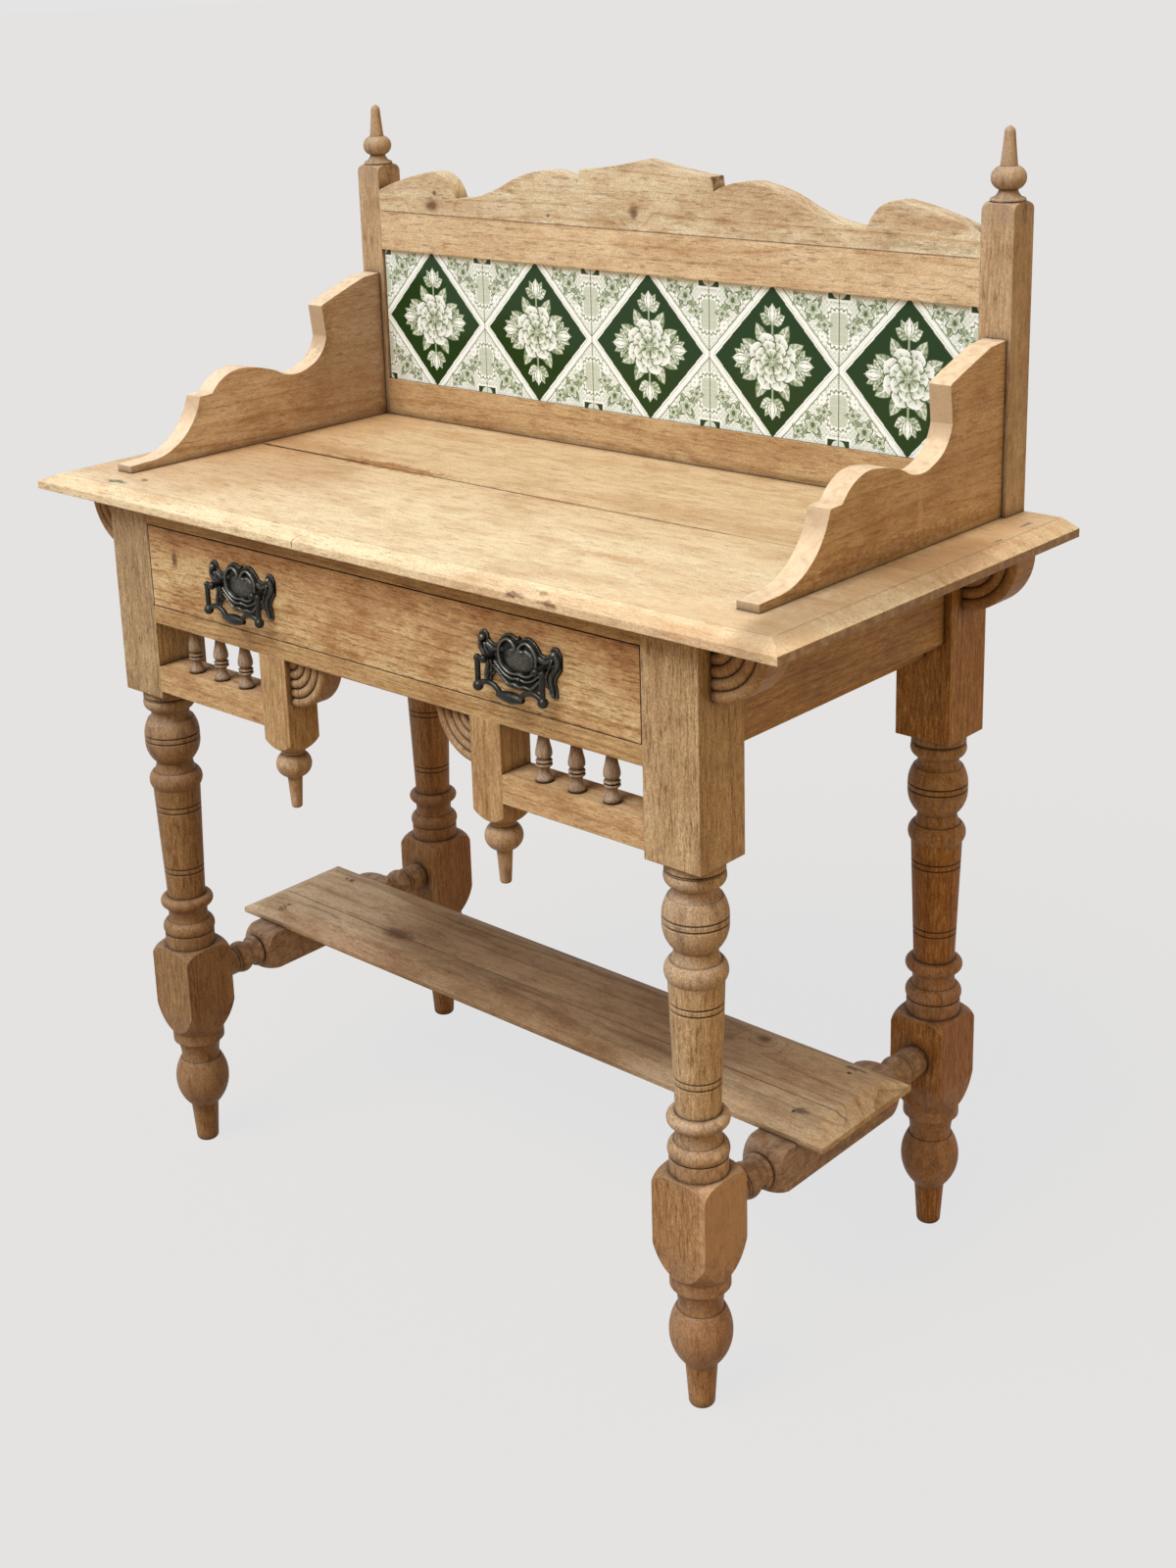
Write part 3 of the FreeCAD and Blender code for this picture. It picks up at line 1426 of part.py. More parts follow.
def bail_solid():
    """The bail about its own pivot line: pins, eyes, arms, knobs, curved rails and a grip."""
    half = float(size.bail_span) / 2
    arm = float(size.bail_knob_drop)
    drop = float(size.bail_drop)
    rod_radius = float(size.bail_rod_diameter) / 2
    grip_radius = float(size.bail_grip_diameter) / 2
    grip_half = half * 0.4
    pin_end = float(stud_offset - size.stud_diameter * 0.4)
    solids = []
    for side in (-1, 1):
        corner = Vector(side * half, 0, -arm)
        shaft = Part.makeCylinder(rod_radius, arm)
        shaft.translate(corner)
        hump = Vector(side * half * 0.68, 0, -arm + float(size.bail_hump_rise))
        rail = bent_rod(corner, hump, Vector(side * half * 0.3, 0, -drop), size.bail_rod_diameter)
        pin = Part.makeCylinder(float(size.bail_pin_diameter) / 2, half - pin_end)
        pin.rotate(Vector(), Vector(0, 1, 0), 90)
        pin.translate(Vector(min(side * half, side * pin_end), 0, 0))
        eye = ball(Vector(side * half, 0, 0), size.bail_eye_diameter)
        knob = ball(corner, size.bail_knob_diameter)
        solids += [shaft, eye, knob, rail, pin]
    swell = Profile(-grip_half)
    swell.line(rod_radius)
    swell.curve(grip_radius * 0.84, grip_radius, grip_half)
    swell.curve(grip_radius * 0.84, rod_radius, grip_half)
    grip = swell.solid()
    grip.rotate(Vector(), Vector(0, 1, 0), 90)
    grip.translate(Vector(0, 0, -drop))
    solids.append(grip)
    return solids[0].fuse(solids[1:]).removeSplitter()


handle_z = (drawer_floor + drawer_ceiling) / 2
pivot_z = handle_z + size.pivot_rise
bail_y = leg_front - size.bail_standoff
plate_shape = plate_solid()
bail_shape = bail_solid()
bolts = []
bolt_blanks = []
nuts = []
for side_name, side in SIDES:
    middle = size.handle_shift + (leg_inner - size.handle_inset) * side
    pair = []
    for stud_name, stud_side in SIDES:
        x = middle + stud_offset * stud_side
        name = "bolt_%s_%s" % (side_name, stud_name)
        head = doc.addObject("Part::Sphere", name + "_head")
        head.setExpression("Radius", text_of(size.stud_diameter / 2))
        for place, value in zip("xyz", (x, bail_y, pivot_z)):
            head.setExpression("Placement.Base." + place, text_of(value))
        neck = rod(
            name + "_neck", (0, 1, 0), (x, bail_y, pivot_z), size.bail_standoff, size.stud_neck_diameter
        )
        shank_length = size.drawer_front_thickness + size.nut_thickness * 1.6
        shank = rod(
            name + "_shank", (0, 1, 0), (x, leg_front, pivot_z), shank_length, size.bolt_diameter
        )
        blank = fuse(name + "_blank", [head, neck, shank])
        hole = rod(
            name + "_hole",
            (1, 0, 0),
            (x - size.stud_diameter, bail_y, pivot_z),
            size.stud_diameter * 2,
            size.bail_pin_diameter + size.bail_pin_clearance * 2,
        )
        pair.append(blank)
        bolts.append(cut(name, blank, hole))
        nut_half = size.nut_width / 2
        nut = block(
            name + "_nut_blank",
            (x - nut_half, x + nut_half),
            (front_back, front_back + size.nut_thickness),
            (pivot_z - nut_half, pivot_z + nut_half),
        )
        nuts.append(cut(name + "_nut", nut, shank))
    bolt_blanks += pair
    label = "handle_plate_" + side_name
    plate = feature(plain_name(label), plate_shape, at(middle, leg_front, handle_z))
    keep(cut(label, plate, fuse(label + "_holes", pair)), label)
    label = "handle_bail_" + side_name
    keep(feature(label, bail_shape, at(middle, bail_y, pivot_z)), label)
keep(group("handle_bolts", bolts), "handle_bolts")
keep(group("handle_nuts", nuts), "handle_nuts")
front_cuts = fuse("drawer_front_cuts", bolt_blanks + [drawer_bottom])
keep(cut("drawer_front", drawer_front_blank, front_cuts), "drawer_front")

doc.recompute()

# every object is sound, and every piece is one clean shape, before anything is written
for thing in doc.Objects:
    if "Invalid" in thing.State or "Error" in thing.State:
        raise RuntimeError("%s did not build: %s" % (thing.Label, thing.State))
for piece in nodes:
    if piece.Shape.isNull() or not piece.Shape.isValid():
        raise RuntimeError("%s has no sound shape" % piece.Label)

os.makedirs("parts", exist_ok=True)
for piece in nodes:
    piece.Shape.exportStep("parts/%s.step" % piece.Label)
    print("%-26s solids %d  volume %.0f" % (piece.Label, len(piece.Shape.Solids), piece.Shape.Volume))
print(len(nodes), "nodes")
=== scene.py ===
import math

import bpy
import numpy as np
from mathutils import Euler, Matrix, Vector


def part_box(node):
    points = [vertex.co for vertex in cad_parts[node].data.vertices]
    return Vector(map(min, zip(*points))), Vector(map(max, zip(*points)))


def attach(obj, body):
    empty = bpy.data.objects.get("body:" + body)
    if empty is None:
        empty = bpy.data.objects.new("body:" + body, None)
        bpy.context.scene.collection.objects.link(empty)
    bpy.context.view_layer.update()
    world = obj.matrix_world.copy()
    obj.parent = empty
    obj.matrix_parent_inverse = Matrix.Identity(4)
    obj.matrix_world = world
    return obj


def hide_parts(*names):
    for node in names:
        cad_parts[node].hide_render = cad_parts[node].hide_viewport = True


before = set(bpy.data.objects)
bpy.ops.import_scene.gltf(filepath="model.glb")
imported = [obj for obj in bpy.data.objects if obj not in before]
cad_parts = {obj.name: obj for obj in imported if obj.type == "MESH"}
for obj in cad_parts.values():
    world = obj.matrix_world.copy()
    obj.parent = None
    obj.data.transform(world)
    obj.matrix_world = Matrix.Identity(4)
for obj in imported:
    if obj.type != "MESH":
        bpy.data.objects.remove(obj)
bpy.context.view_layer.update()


# Legs
# Each leg is one square length of pine, left square where the rails meet it and where the stretcher
# crosses, and turned between. The paint was stripped off long ago and the wood waxed: the grain has
# opened, the beads are worn pale, and the cuts of the chisel hold dark dirt, darkened further with
# painted shade.

def linear(code):
    """An sRGB colour written #rrggbb, as the linear colour that the shaders work in."""
    parts = [int(code[i:i + 2], 16) / 255 for i in (1, 3, 5)]
    return tuple(c / 12.92 if c <= 0.04045 else ((c + 0.055) / 1.055) ** 2.4 for c in parts) + (1.0,)


def add(tree, kind, sockets=None, stops=None, **settings):
    """Adds one node: its settings, then its sockets, each a value or another node's output, then a
    ramp's stops."""
    node = tree.nodes.new(kind)
    for key, value in settings.items():
        setattr(node, key, value)
    for key, value in (sockets or {}).items():
        if isinstance(value, bpy.types.NodeSocket):
            tree.links.new(value, node.inputs[key])
        else:
            node.inputs[key].default_value = value
    for spot, (place, value) in enumerate(stops or ()):
        ramp = node.color_ramp.elements
        element = ramp[spot] if spot < 2 else ramp.new(place)
        element.position = place
        element.color = linear(value) if isinstance(value, str) else (value, value, value, 1.0)
    return node


def reckon(tree, operation, *values, clamp=False):
    """One step of arithmetic on numbers."""
    return add(tree, "ShaderNodeMath", dict(enumerate(values)), operation=operation,
               use_clamp=clamp).outputs[0]


def reckon_vector(tree, operation, *values):
    """One step of arithmetic on vectors. A length or a dot product comes out as a number."""
    step = add(tree, "ShaderNodeVectorMath", dict(enumerate(values)), operation=operation)
    return step.outputs["Value" if operation in ("LENGTH", "DOT_PRODUCT") else "Vector"]


def spread(tree, value, first, last, low=0.0, high=1.0, soft=False):
    """Goes from low to high while the value goes from first to last, and stays there beyond them."""
    return add(tree, "ShaderNodeMapRange", {0: value, 1: first, 2: last, 3: low, 4: high},
               interpolation_type="SMOOTHSTEP" if soft else "LINEAR").outputs[0]


def noise(tree, place, size, detail, roughness=0.5):
    """Clouds of the given size in the given coordinates, from 0 to 1."""
    return add(tree, "ShaderNodeTexNoise", {"Vector": place, "Scale": 1 / size, "Detail": detail,
                                            "Roughness": roughness}).outputs[0]


def blend(tree, share, under, over, kind="MIX"):
    """Lays one colour over another in the given share."""
    over = linear(over) if isinstance(over, str) else over
    return add(tree, "ShaderNodeMix", {0: share, 6: under, 7: over}, data_type="RGBA",
               blend_type=kind).outputs[2]


# The turn, in degrees, that brings the wood's own axis, along its grain, upright.
GRAIN_TURN = {"X": (0, -90, 0), "Y": (90, 0, 0), "Z": (0, 0, 0)}
# How far wear reaches, and the two kinds of dirt with painted shade, in metres.
WORN_RADIUS = 0.0015
JOINT_DIRT_AND_SHADE_REACH = 0.013
CREASE_DIRT_AND_SHADE_REACH = 0.0025
# How far in a seam's ends fade, and a height over every piece, in millimetres.
SEAM_END = 8
TALLEST = 1200


def pine(name, grain, pith, pale, deep, ring=4.6, rings=0.5, fibre=0.5, mottle=0.35, fleck=0.35,
         draw=0.14, speckle=0.22, dirt_and_shade=0.85, wear=0.35, rough=0.5, knots=(), seams=(), marks=(),
         grime_and_shade=None, worn=(), faces=(), shades=(), fade=None):
    """Stripped and waxed pine, as a solid block that the piece is cut from, in millimetres.

    Year rings lie round the pith, a line along the grain through the given point, and each fades
    from pale early wood to a darker, harder late edge. The line wanders slowly, so that the rings
    open into flames on a flat face. A knot pushes the rings aside round its own dark heart. Dirt
    and painted shade sit in the joints and hollows, and corners are worn pale. Ring is the width of
    a year's ring. Rings, fibre, mottle, fleck, speckle, dirt_and_shade and wear are strengths, draw
    is how much slower the fibres' streaks change along the grain, and rough is the roughness.

    A knot is its middle, its size and its squash along each axis. A seam is a dark line where two
    pieces meet: its axis, its place, half its width and its strength, then the axis that it runs
    along and its two ends. A mark is a patch with a ragged edge: its middle, its three half widths,
    its colour and its strength. A shade is a soft darkening: its middle, its three half widths and
    the colour that it multiplies by; on the shelf and the left side board it is painted shade.
    Grime_and_shade deepens the wood from one height to another, with the colour that it multiplies
    by: on the legs it is partly grime and partly painted shade, and on the drawer front it is a
    painted shadow of the top. Worn gives the heights between which a piece is turned, where hands
    have rubbed it to a pale pinkish grey.
    Faces gives an axis, two shares of it in the face's normal, and the colour and strength reached
    at the second. Fade gives a direction, the places along it where a bleached colour begins and is
    full, and its colour.
    """
    material = bpy.data.materials.new(name)
    material.use_nodes = True
    tree = material.node_tree
    tree.nodes.clear()
    place = add(tree, "ShaderNodeTexCoord").outputs["Object"]
    turn = Euler([math.radians(angle) for angle in GRAIN_TURN[grain]])
    shift = -(turn.to_matrix() @ Vector(pith))
    mm = add(tree, "ShaderNodeMapping", {"Vector": place, "Scale": (1000, 1000, 1000)}).outputs[0]
    wood = add(tree, "ShaderNodeMapping", {"Vector": mm, "Rotation": turn, "Location": shift}
               ).outputs[0]
    split = add(tree, "ShaderNodeSeparateXYZ", {0: mm}).outputs
    ragged = noise(tree, mm, 7, 3.0)

    # The slow wander of the grain: 70 mm across it and ten times that along it, 22 mm each way.
    slow = reckon_vector(tree, "MULTIPLY", wood, (1, 1, 0.1))
    sway = add(tree, "ShaderNodeTexNoise", {"Vector": slow, "Scale": 1 / 70, "Detail": 2.0}
               ).outputs["Color"]
    sway = reckon_vector(tree, "MULTIPLY_ADD", sway, (44, 44, 0), (-22, -22, 0))
    bent = reckon_vector(tree, "ADD", wood, sway)
    reach = reckon_vector(tree, "LENGTH", reckon_vector(tree, "MULTIPLY", bent, (1, 1, 0)))
    count = reckon(tree, "MULTIPLY", reach, 1 / ring)

    # Knots: each is a dark heart, squashed as given, in a wider swirl of the rings.
    hearts = None
    for spot, size, squash in knots:
        away = reckon_vector(tree, "MULTIPLY", reckon_vector(tree, "SUBTRACT", mm, spot), squash)
        far = reckon(tree, "MULTIPLY_ADD", ragged, size * 0.9, reckon_vector(tree, "LENGTH", away))
        swirl = spread(tree, far, size * 5.0, size * 0.4, 0.0, size * 0.8, soft=True)
        count = reckon(tree, "ADD", count, swirl)
        heart = spread(tree, far, size * 1.9, size * 0.8, soft=True)
        hearts = heart if hearts is None else reckon(tree, "MAXIMUM", hearts, heart)

    year = reckon(tree, "FLOOR", count)
    season = reckon(tree, "FRACT", count)
    late = add(tree, "ShaderNodeValToRGB", {0: season},
               ((0.0, 0.05), (0.45, 0.12), (0.86, 1.0), (0.98, 0.0))).outputs[0]
    growth = add(tree, "ShaderNodeTexWhiteNoise", {"W": year}, noise_dimensions="1D").outputs["Value"]
    late = reckon(tree, "MULTIPLY", late, growth)

    # Fibres: in the wood 0.03 mm wide, drawn as streaks of 1 mm by 7 mm (or as long as draw makes
    # them) so that they show at all, over broader bands of 6 mm.
    streak = noise(tree, reckon_vector(tree, "MULTIPLY", bent, (1, 1, draw)), 1, 3.0, 0.75)
    streak = spread(tree, streak, 0.33, 0.67)
    band = noise(tree, reckon_vector(tree, "MULTIPLY", bent, (1, 1, 0.06)), 6, 2.0)
    band = spread(tree, band, 0.3, 0.7)
    depth = reckon(tree, "MULTIPLY_ADD", late, rings, 0.42 - fibre * 0.75 - rings * 0.2)
    depth = reckon(tree, "MULTIPLY_ADD", streak, fibre * 0.9, depth)
    depth = reckon(tree, "MULTIPLY_ADD", band, fibre * 0.5, depth, clamp=True)
    colour = blend(tree, depth, linear(pale), deep)

    if fade:
        along, start, full, bleached = fade
        amount = reckon_vector(tree, "DOT_PRODUCT", mm, along)
        amount = spread(tree, amount, start, full, 0.0, 0.65, soft=True)
        colour = blend(tree, amount, colour, bleached)

    # Broad patches, 50 mm wide and 125 mm long, where wax and old paint went in unevenly.
    patch = noise(tree, reckon_vector(tree, "MULTIPLY", wood, (1, 1, 0.4)), 50, 6.0, 0.62)
    amount = spread(tree, patch, 0.42, 0.68, 0.0, mottle, soft=True)
    colour = blend(tree, amount, colour, "#c69c6e", "MULTIPLY")

    # The ripple of the grain: darker clouds some 12 mm wide and three times as long.
    cloud = noise(tree, reckon_vector(tree, "MULTIPLY", bent, (1, 1, 0.35)), 12, 4.0, 0.7)
    amount = spread(tree, cloud, 0.46, 0.66, 0.0, mottle * 1.1)
    colour = blend(tree, amount, colour, "#c8a57e", "MULTIPLY")

    # Torn flecks of the early wood, 2 mm by 14 mm, paler, and pores of dirt between them.
    torn = noise(tree, reckon_vector(tree, "MULTIPLY", wood, (1, 1, 0.14)), 2, 2.0)
    light = spread(tree, torn, 0.55, 0.68, 0.0, fleck)
    light = reckon(tree, "MULTIPLY", light, spread(tree, patch, 0.62, 0.42, 0.25, 1.0))
    colour = blend(tree, light, colour, "#e3c294")
    colour = blend(tree, spread(tree, torn, 0.44, 0.3, 0.0, fleck * 1.3), colour, "#6e431f")

    if worn:
        # A ramp up the piece is full between each pair of heights, and soot stays in the clouds.
        tall = reckon(tree, "MULTIPLY", split["Z"], 1 / TALLEST)
        stops = []
        for low, high in worn:
            stops += [(low / TALLEST - 0.001, 0.0), (low / TALLEST + 0.001, 1.0),
                      (high / TALLEST - 0.001, 1.0), (high / TALLEST + 0.001, 0.0)]
        rubbed = add(tree, "ShaderNodeValToRGB", {0: tall}, stops).outputs[0]
        rubbed = reckon(tree, "MULTIPLY", rubbed, spread(tree, ragged, 0.36, 0.62, 0.15, 0.8))
        colour = blend(tree, rubbed, colour, "#b09880")
        soot = reckon(tree, "MULTIPLY", rubbed, spread(tree, cloud, 0.5, 0.64, 0.0, 0.75))
        colour = blend(tree, soot, colour, "#5f432b")

    # Pores and grain ends: in the wood 0.1 mm across, drawn as specks of 1 mm so that they show.
    speck = noise(tree, reckon_vector(tree, "MULTIPLY", wood, (1, 1, 0.45)), 1, 2.0, 0.8)
    speck = spread(tree, speck, 0.36, 0.64, 1 - speckle, 1 + speckle * 0.7)
    colour = add(tree, "ShaderNodeVectorMath", {0: colour, "Scale": speck}, operation="SCALE"
                 ).outputs[0]
    if hearts is not None:
        colour = blend(tree, reckon(tree, "MULTIPLY", hearts, 0.8), colour, "#5a3418")
    for spot, widths, stain, strength in marks:
        away = reckon_vector(tree, "DIVIDE", reckon_vector(tree, "SUBTRACT", mm, spot), widths)
        far = reckon(tree, "MULTIPLY_ADD", ragged, 2.2, reckon_vector(tree, "LENGTH", away))
        inside = spread(tree, far, 2.1, 1.6, 0.0, strength)
        inside = reckon(tree, "MULTIPLY", inside, spread(tree, streak, 0.15, 0.6, 0.4, 1.0))
        colour = blend(tree, inside, colour, stain)
    for spot, widths, dusk in shades:
        away = reckon_vector(tree, "DIVIDE", reckon_vector(tree, "SUBTRACT", mm, spot), widths)
        inside = spread(tree, reckon_vector(tree, "LENGTH", away), 1.0, 0.6, soft=True)
        colour = blend(tree, inside, colour, dusk, "MULTIPLY")
    if grime_and_shade:
        top, bottom, grime_and_shade_tint = grime_and_shade
        colour = blend(tree, spread(tree, split["Z"], top, bottom), colour, grime_and_shade_tint, "MULTIPLY")

    lay = add(tree, "ShaderNodeNewGeometry").outputs["Normal"]
    for axis, first, second, stain, strength in faces:
        side = add(tree, "ShaderNodeSeparateXYZ", {0: lay}).outputs[axis]
        side = spread(tree, reckon(tree, "ABSOLUTE", side), first, second, 0.0, strength)
        side = reckon(tree, "MULTIPLY", side, spread(tree, ragged, 0.3, 0.6, 0.5, 1.0))
        colour = blend(tree, side, colour, stain)

    # Corners worn pale: where the true normal and one rounded over 1.5 mm disagree.
    round_normal = add(tree, "ShaderNodeBevel", {"Radius": WORN_RADIUS}, samples=4).outputs[0]
    agree = reckon_vector(tree, "DOT_PRODUCT", lay, round_normal)
    edge = reckon(tree, "MULTIPLY", spread(tree, agree, 0.985, 0.86, 0.0, wear), ragged)
    colour = blend(tree, edge, colour, "#f0d8b0")

    # Dirt and painted shade in joints and hollows, within 13 mm of another face, and a thin dark line
    # of old paint and wax, with painted shade, in every crease and groove, within 2.5 mm of it. Both
    # are darker the more closely other faces close round a point.
    for near, first, last, dirt_and_shade_colour in ((JOINT_DIRT_AND_SHADE_REACH, 0.9, 0.3, "#38210f"),
                                     (CREASE_DIRT_AND_SHADE_REACH, 0.84, 0.48, "#2c1a0e")):
        hollow = add(tree, "ShaderNodeAmbientOcclusion", {"Distance": near}, samples=6).outputs["AO"]
        colour = blend(tree, spread(tree, hollow, first, last, 0.0, dirt_and_shade), colour, dirt_and_shade_colour)
    for axis, where, half, strength, run, low, high in seams:
        off = reckon(tree, "ABSOLUTE", reckon(tree, "SUBTRACT", split[axis], where))
        off = reckon(tree, "MULTIPLY_ADD", ragged, half * -2.0, off)
        line = spread(tree, off, half * 0.7, -half * 0.5, 0.0, strength)
        for end, past in ((low, low + SEAM_END), (high, high - SEAM_END)):
            line = reckon(tree, "MULTIPLY", line, spread(tree, split[run], end, past))
        colour = blend(tree, line, colour, "#3a2008")

    # The late wood stands up by some tenths of a millimetre where the soft wood has washed out.
    relief = reckon(tree, "MULTIPLY_ADD", late, 0.5, streak)
    bump = add(tree, "ShaderNodeBump", {"Strength": 0.4, "Distance": 0.0005, "Height": relief,
                                        "Normal": round_normal}).outputs[0]
    gloss = spread(tree, streak, 0.0, 1.0, rough - 0.07, rough + 0.09)
    shader = add(tree, "ShaderNodeBsdfPrincipled", {
        "Base Color": colour, "Roughness": gloss, "IOR": 1.5, "Specular IOR Level": 0.2,
        "Normal": bump})
    add(tree, "ShaderNodeOutputMaterial", {"Surface": shader.outputs[0]})
    return material


def dress(node, material):
    """Gives one CAD node its material."""
    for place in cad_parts[node].material_slots:
        place.material = material


TURNED_HEIGHTS = ((44, 163), (233, 293), (413, 523))
# A painted light patch makes the outer side of the front right leg's lower block paler.
PAINTED_LIGHT_BLOCK = ((374, -171, 198), (9, 90, 84), "#e9d6b6", 0.62)
# The last entry of each leg darkens it towards the floor: partly grime and partly painted shade.
for leg, pith, pale, deep, grime_and_shade in (
        ("leg_front_left", (-395, -120, 0), "#c0ab85", "#84623c", (560, 440, "#d0bda8")),
        ("leg_front_right", (300, -118, 0), "#cbb289", "#8d6841", (290, 225, "#dcc7b4")),
        ("leg_back_left", (-300, 140, 0), "#c8aa7c", "#866039", (540, 330, "#d8c3b0")),
        ("leg_back_right", (404, 238, 0), "#b88d52", "#794d1e", (540, 330, "#eee0d6"))):
    dress(leg, pine("waxed_pine_" + leg, "Z", pith, pale, deep, ring=4.2, rings=0.5, fibre=0.6,
                    fleck=0.5, mottle=0.2, draw=0.07, speckle=0.34, dirt_and_shade=1.0, grime_and_shade=grime_and_shade,
                    worn=TURNED_HEIGHTS, marks=(PAINTED_LIGHT_BLOCK,)))


# Frame rails
# Rails of the same pine join the legs: one on edge at each end and at the back, two laid flat over and
# under the drawer. They are tenoned into the legs and glued.

for rail, grain, pith, pale, deep in (
        ("side_rail_left", "Y", (-330, 0, 560), "#c4a377", "#8b633b"),
        ("side_rail_right", "Y", (410, 0, 575), "#c4a377", "#8b633b"),
        ("back_rail", "X", (0, 250, 600), "#cdb07d", "#936a3f"),
        ("top_front_rail", "X", (0, -160, 660), "#cdb07d", "#936a3f"),
        ("drawer_rail", "X", (0, -150, 560), "#cdb07d", "#936a3f")):
    dress(rail, pine("waxed_pine_" + rail, grain, pith, pale, deep, rings=0.5))


# Spindle galleries
# Under each end of the drawer a thin rail runs from the leg to a hanging post with a turned ball and
# spike, and three small spindles stand between. Little reeded quarter rounds fill the posts' inner
# corners. The spindles have kept less wax and look grey.

def ribbon(points, count):
    """Points along a smooth line through the given ones: in each span a cubic that leaves each end
    at the slope between its neighbours."""
    points = np.array(points, float)
    ends = np.vstack([2 * points[0] - points[1], points, 2 * points[-1] - points[-2]])
    spot = np.linspace(0, len(points) - 1 - 1e-9, count)
    part = spot.astype(int)
    s = (spot - part)[:, None]
    a, b, c, d = (ends[part + step] for step in range(4))
    return 0.5 * (2 * b + (c - a) * s + (2 * a - 5 * b + 4 * c - d) * s ** 2
                  + (3 * b - a - 3 * c + d) * s ** 3)


SPINDLE_HEIGHT = 46
# Radius and height of the flared foot, the neck, the vase and its slim top.
SPINDLE_LINE = ((6.9, 0), (7.5, 1.4), (7.5, 3.2), (6.6, 5.2), (5.2, 8), (4.7, 10.5), (5.0, 12.6),
                (5.7, 14), (5.0, 17), (5.2, 20.4), (7.2, 23.5), (7.1, 28), (6.0, 33), (4.9, 38.5),
                (4.3, 43), (4.2, SPINDLE_HEIGHT))


def spindle_radius(height):
    """The radius of a spindle at a height over the rail, in millimetres: a smooth line through its
    profile's points, with three half-round beads standing out of it."""
    line = ribbon(SPINDLE_LINE, 200)
    radius = np.interp(height, line[:, 1], line[:, 0])
    for middle, half, crown in ((15.2, 1.5, 7.4), (18.5, 1.4, 7.3), (44.3, 1.1, 5.2)):
        bead = crown - 2.2 * (1 - np.sqrt(np.clip(1 - ((height - middle) / half) ** 2, 0, 1)))
        radius = np.where(np.abs(height - middle) < half, np.maximum(radius, bead), radius)
    return radius


SPINDLE_TURNS = 36
# The pins at a spindle's ends are 7 mm long and 3 mm in radius. The outer spindles' middles stand
# 8.2 mm inside the row's ends, and the middle one a little past half way.
PIN_LENGTH, PIN_RADIUS = 0.007, 0.003
ROW_INSET = 0.0082
for side, sign in (("left", -1), ("right", 1)):
    low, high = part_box("spindles_" + side)
    base, ceiling = low[2] + PIN_LENGTH, high[2] - PIN_LENGTH
    height = np.linspace(0, SPINDLE_HEIGHT, 231)
    turned = base + height / SPINDLE_HEIGHT * (ceiling - base)
    column = np.concatenate([[low[2], base], turned, [ceiling, high[2]]])
    pin = [PIN_RADIUS, PIN_RADIUS]
    radius = np.concatenate([pin, spindle_radius(height) / 1000, pin])
    angle = np.arange(SPINDLE_TURNS) * 2 * np.pi / SPINDLE_TURNS
    rows = len(column)
    outer, inner = low[0] + ROW_INSET, high[0] - ROW_INSET
    if sign > 0:
        outer, inner = inner, outer
    points, faces = [], []
    for share in (0.0, 0.51, 1.0):
        x = outer + (inner - outer) * share + radius[:, None] * np.cos(angle)
        y = (low[1] + high[1]) / 2 + radius[:, None] * np.sin(angle)
        z = np.repeat(column[:, None], SPINDLE_TURNS, axis=1)
        first = sum(map(len, points))
        spot = first + np.arange(rows * SPINDLE_TURNS).reshape(rows, SPINDLE_TURNS)
        after = np.roll(spot, -1, axis=1)
        points.append(np.stack([x, y, z], axis=-1).reshape(-1, 3))
        faces += np.stack([spot[:-1], after[:-1], after[1:], spot[1:]], axis=-1).reshape(-1, 4).tolist()
        faces += [spot[0, ::-1].tolist(), spot[-1].tolist()]
    mesh = bpy.data.meshes.new("turned_spindles_" + side)
    mesh.from_pydata(np.concatenate(points).tolist(), [], faces)
    mesh.polygons.foreach_set("use_smooth", np.ones(len(mesh.polygons), bool))
    mesh.materials.append(pine("worn_pine_spindles_" + side, "Z", (sign * 250, -160, 0), "#b19e89",
                               "#6a5440", ring=3.0, wear=0.5, speckle=0.3))
    piece = bpy.data.objects.new("turned_spindles_" + side, mesh)
    bpy.context.collection.objects.link(piece)
    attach(piece, "stand")
    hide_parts("spindles_" + side)

PENDANT_TURNED = ((440, 508),)
for side, x in (("left", -250), ("right", 250)):
    dress("gallery_rail_" + side, pine("waxed_pine_gallery_rail_" + side, "X", (x, -140, 520),
                                       "#d4b587", "#9a7145"))
    dress("pendant_post_" + side, pine("waxed_pine_pendant_post_" + side, "Z", (x * 0.4, -130, 0),
                                       "#c8ab7c", "#916a3f", worn=PENDANT_TURNED))
    dress("fan_bracket_" + side, pine("waxed_pine_fan_bracket_" + side, "Z", (x * 0.3, -150, 0),
                                      "#bda27d", "#8d6a44", wear=0.55))


# Corner brackets
# Reeded quarter rounds, turned as discs and sawn in four, are glued to the ends of the frame under the
# overhang of the top.

for corner in ("front_left", "front_right", "back_left", "back_right"):
    dress("corner_bracket_" + corner, pine("waxed_pine_bracket_" + corner, "Y", (0, 0, 640),
                                           "#c1a37c", "#926c45", wear=0.6))


# Drawer runners and blocks
# Inside the frame the wood was never finished: runners, guides and kickers carry the drawer, and glue
# blocks hold the top. Bare pine, dull and dusty.

bare = pine("bare_pine_inside", "Y", (0, 0, 500), "#c8a57a", "#9a7550", rough=0.75, fleck=0.1,
            wear=0.1)
for side in ("left", "right"):
    for strip in ("drawer_runner_", "drawer_guide_", "drawer_kicker_"):
        dress(strip + side, bare)
dress("glue_blocks", bare)


# Top
# Two planks side by side, with a bevel worked round their front and ends. It is the palest part,
# scrubbed for years, and dirt has darkened the seam between the planks.

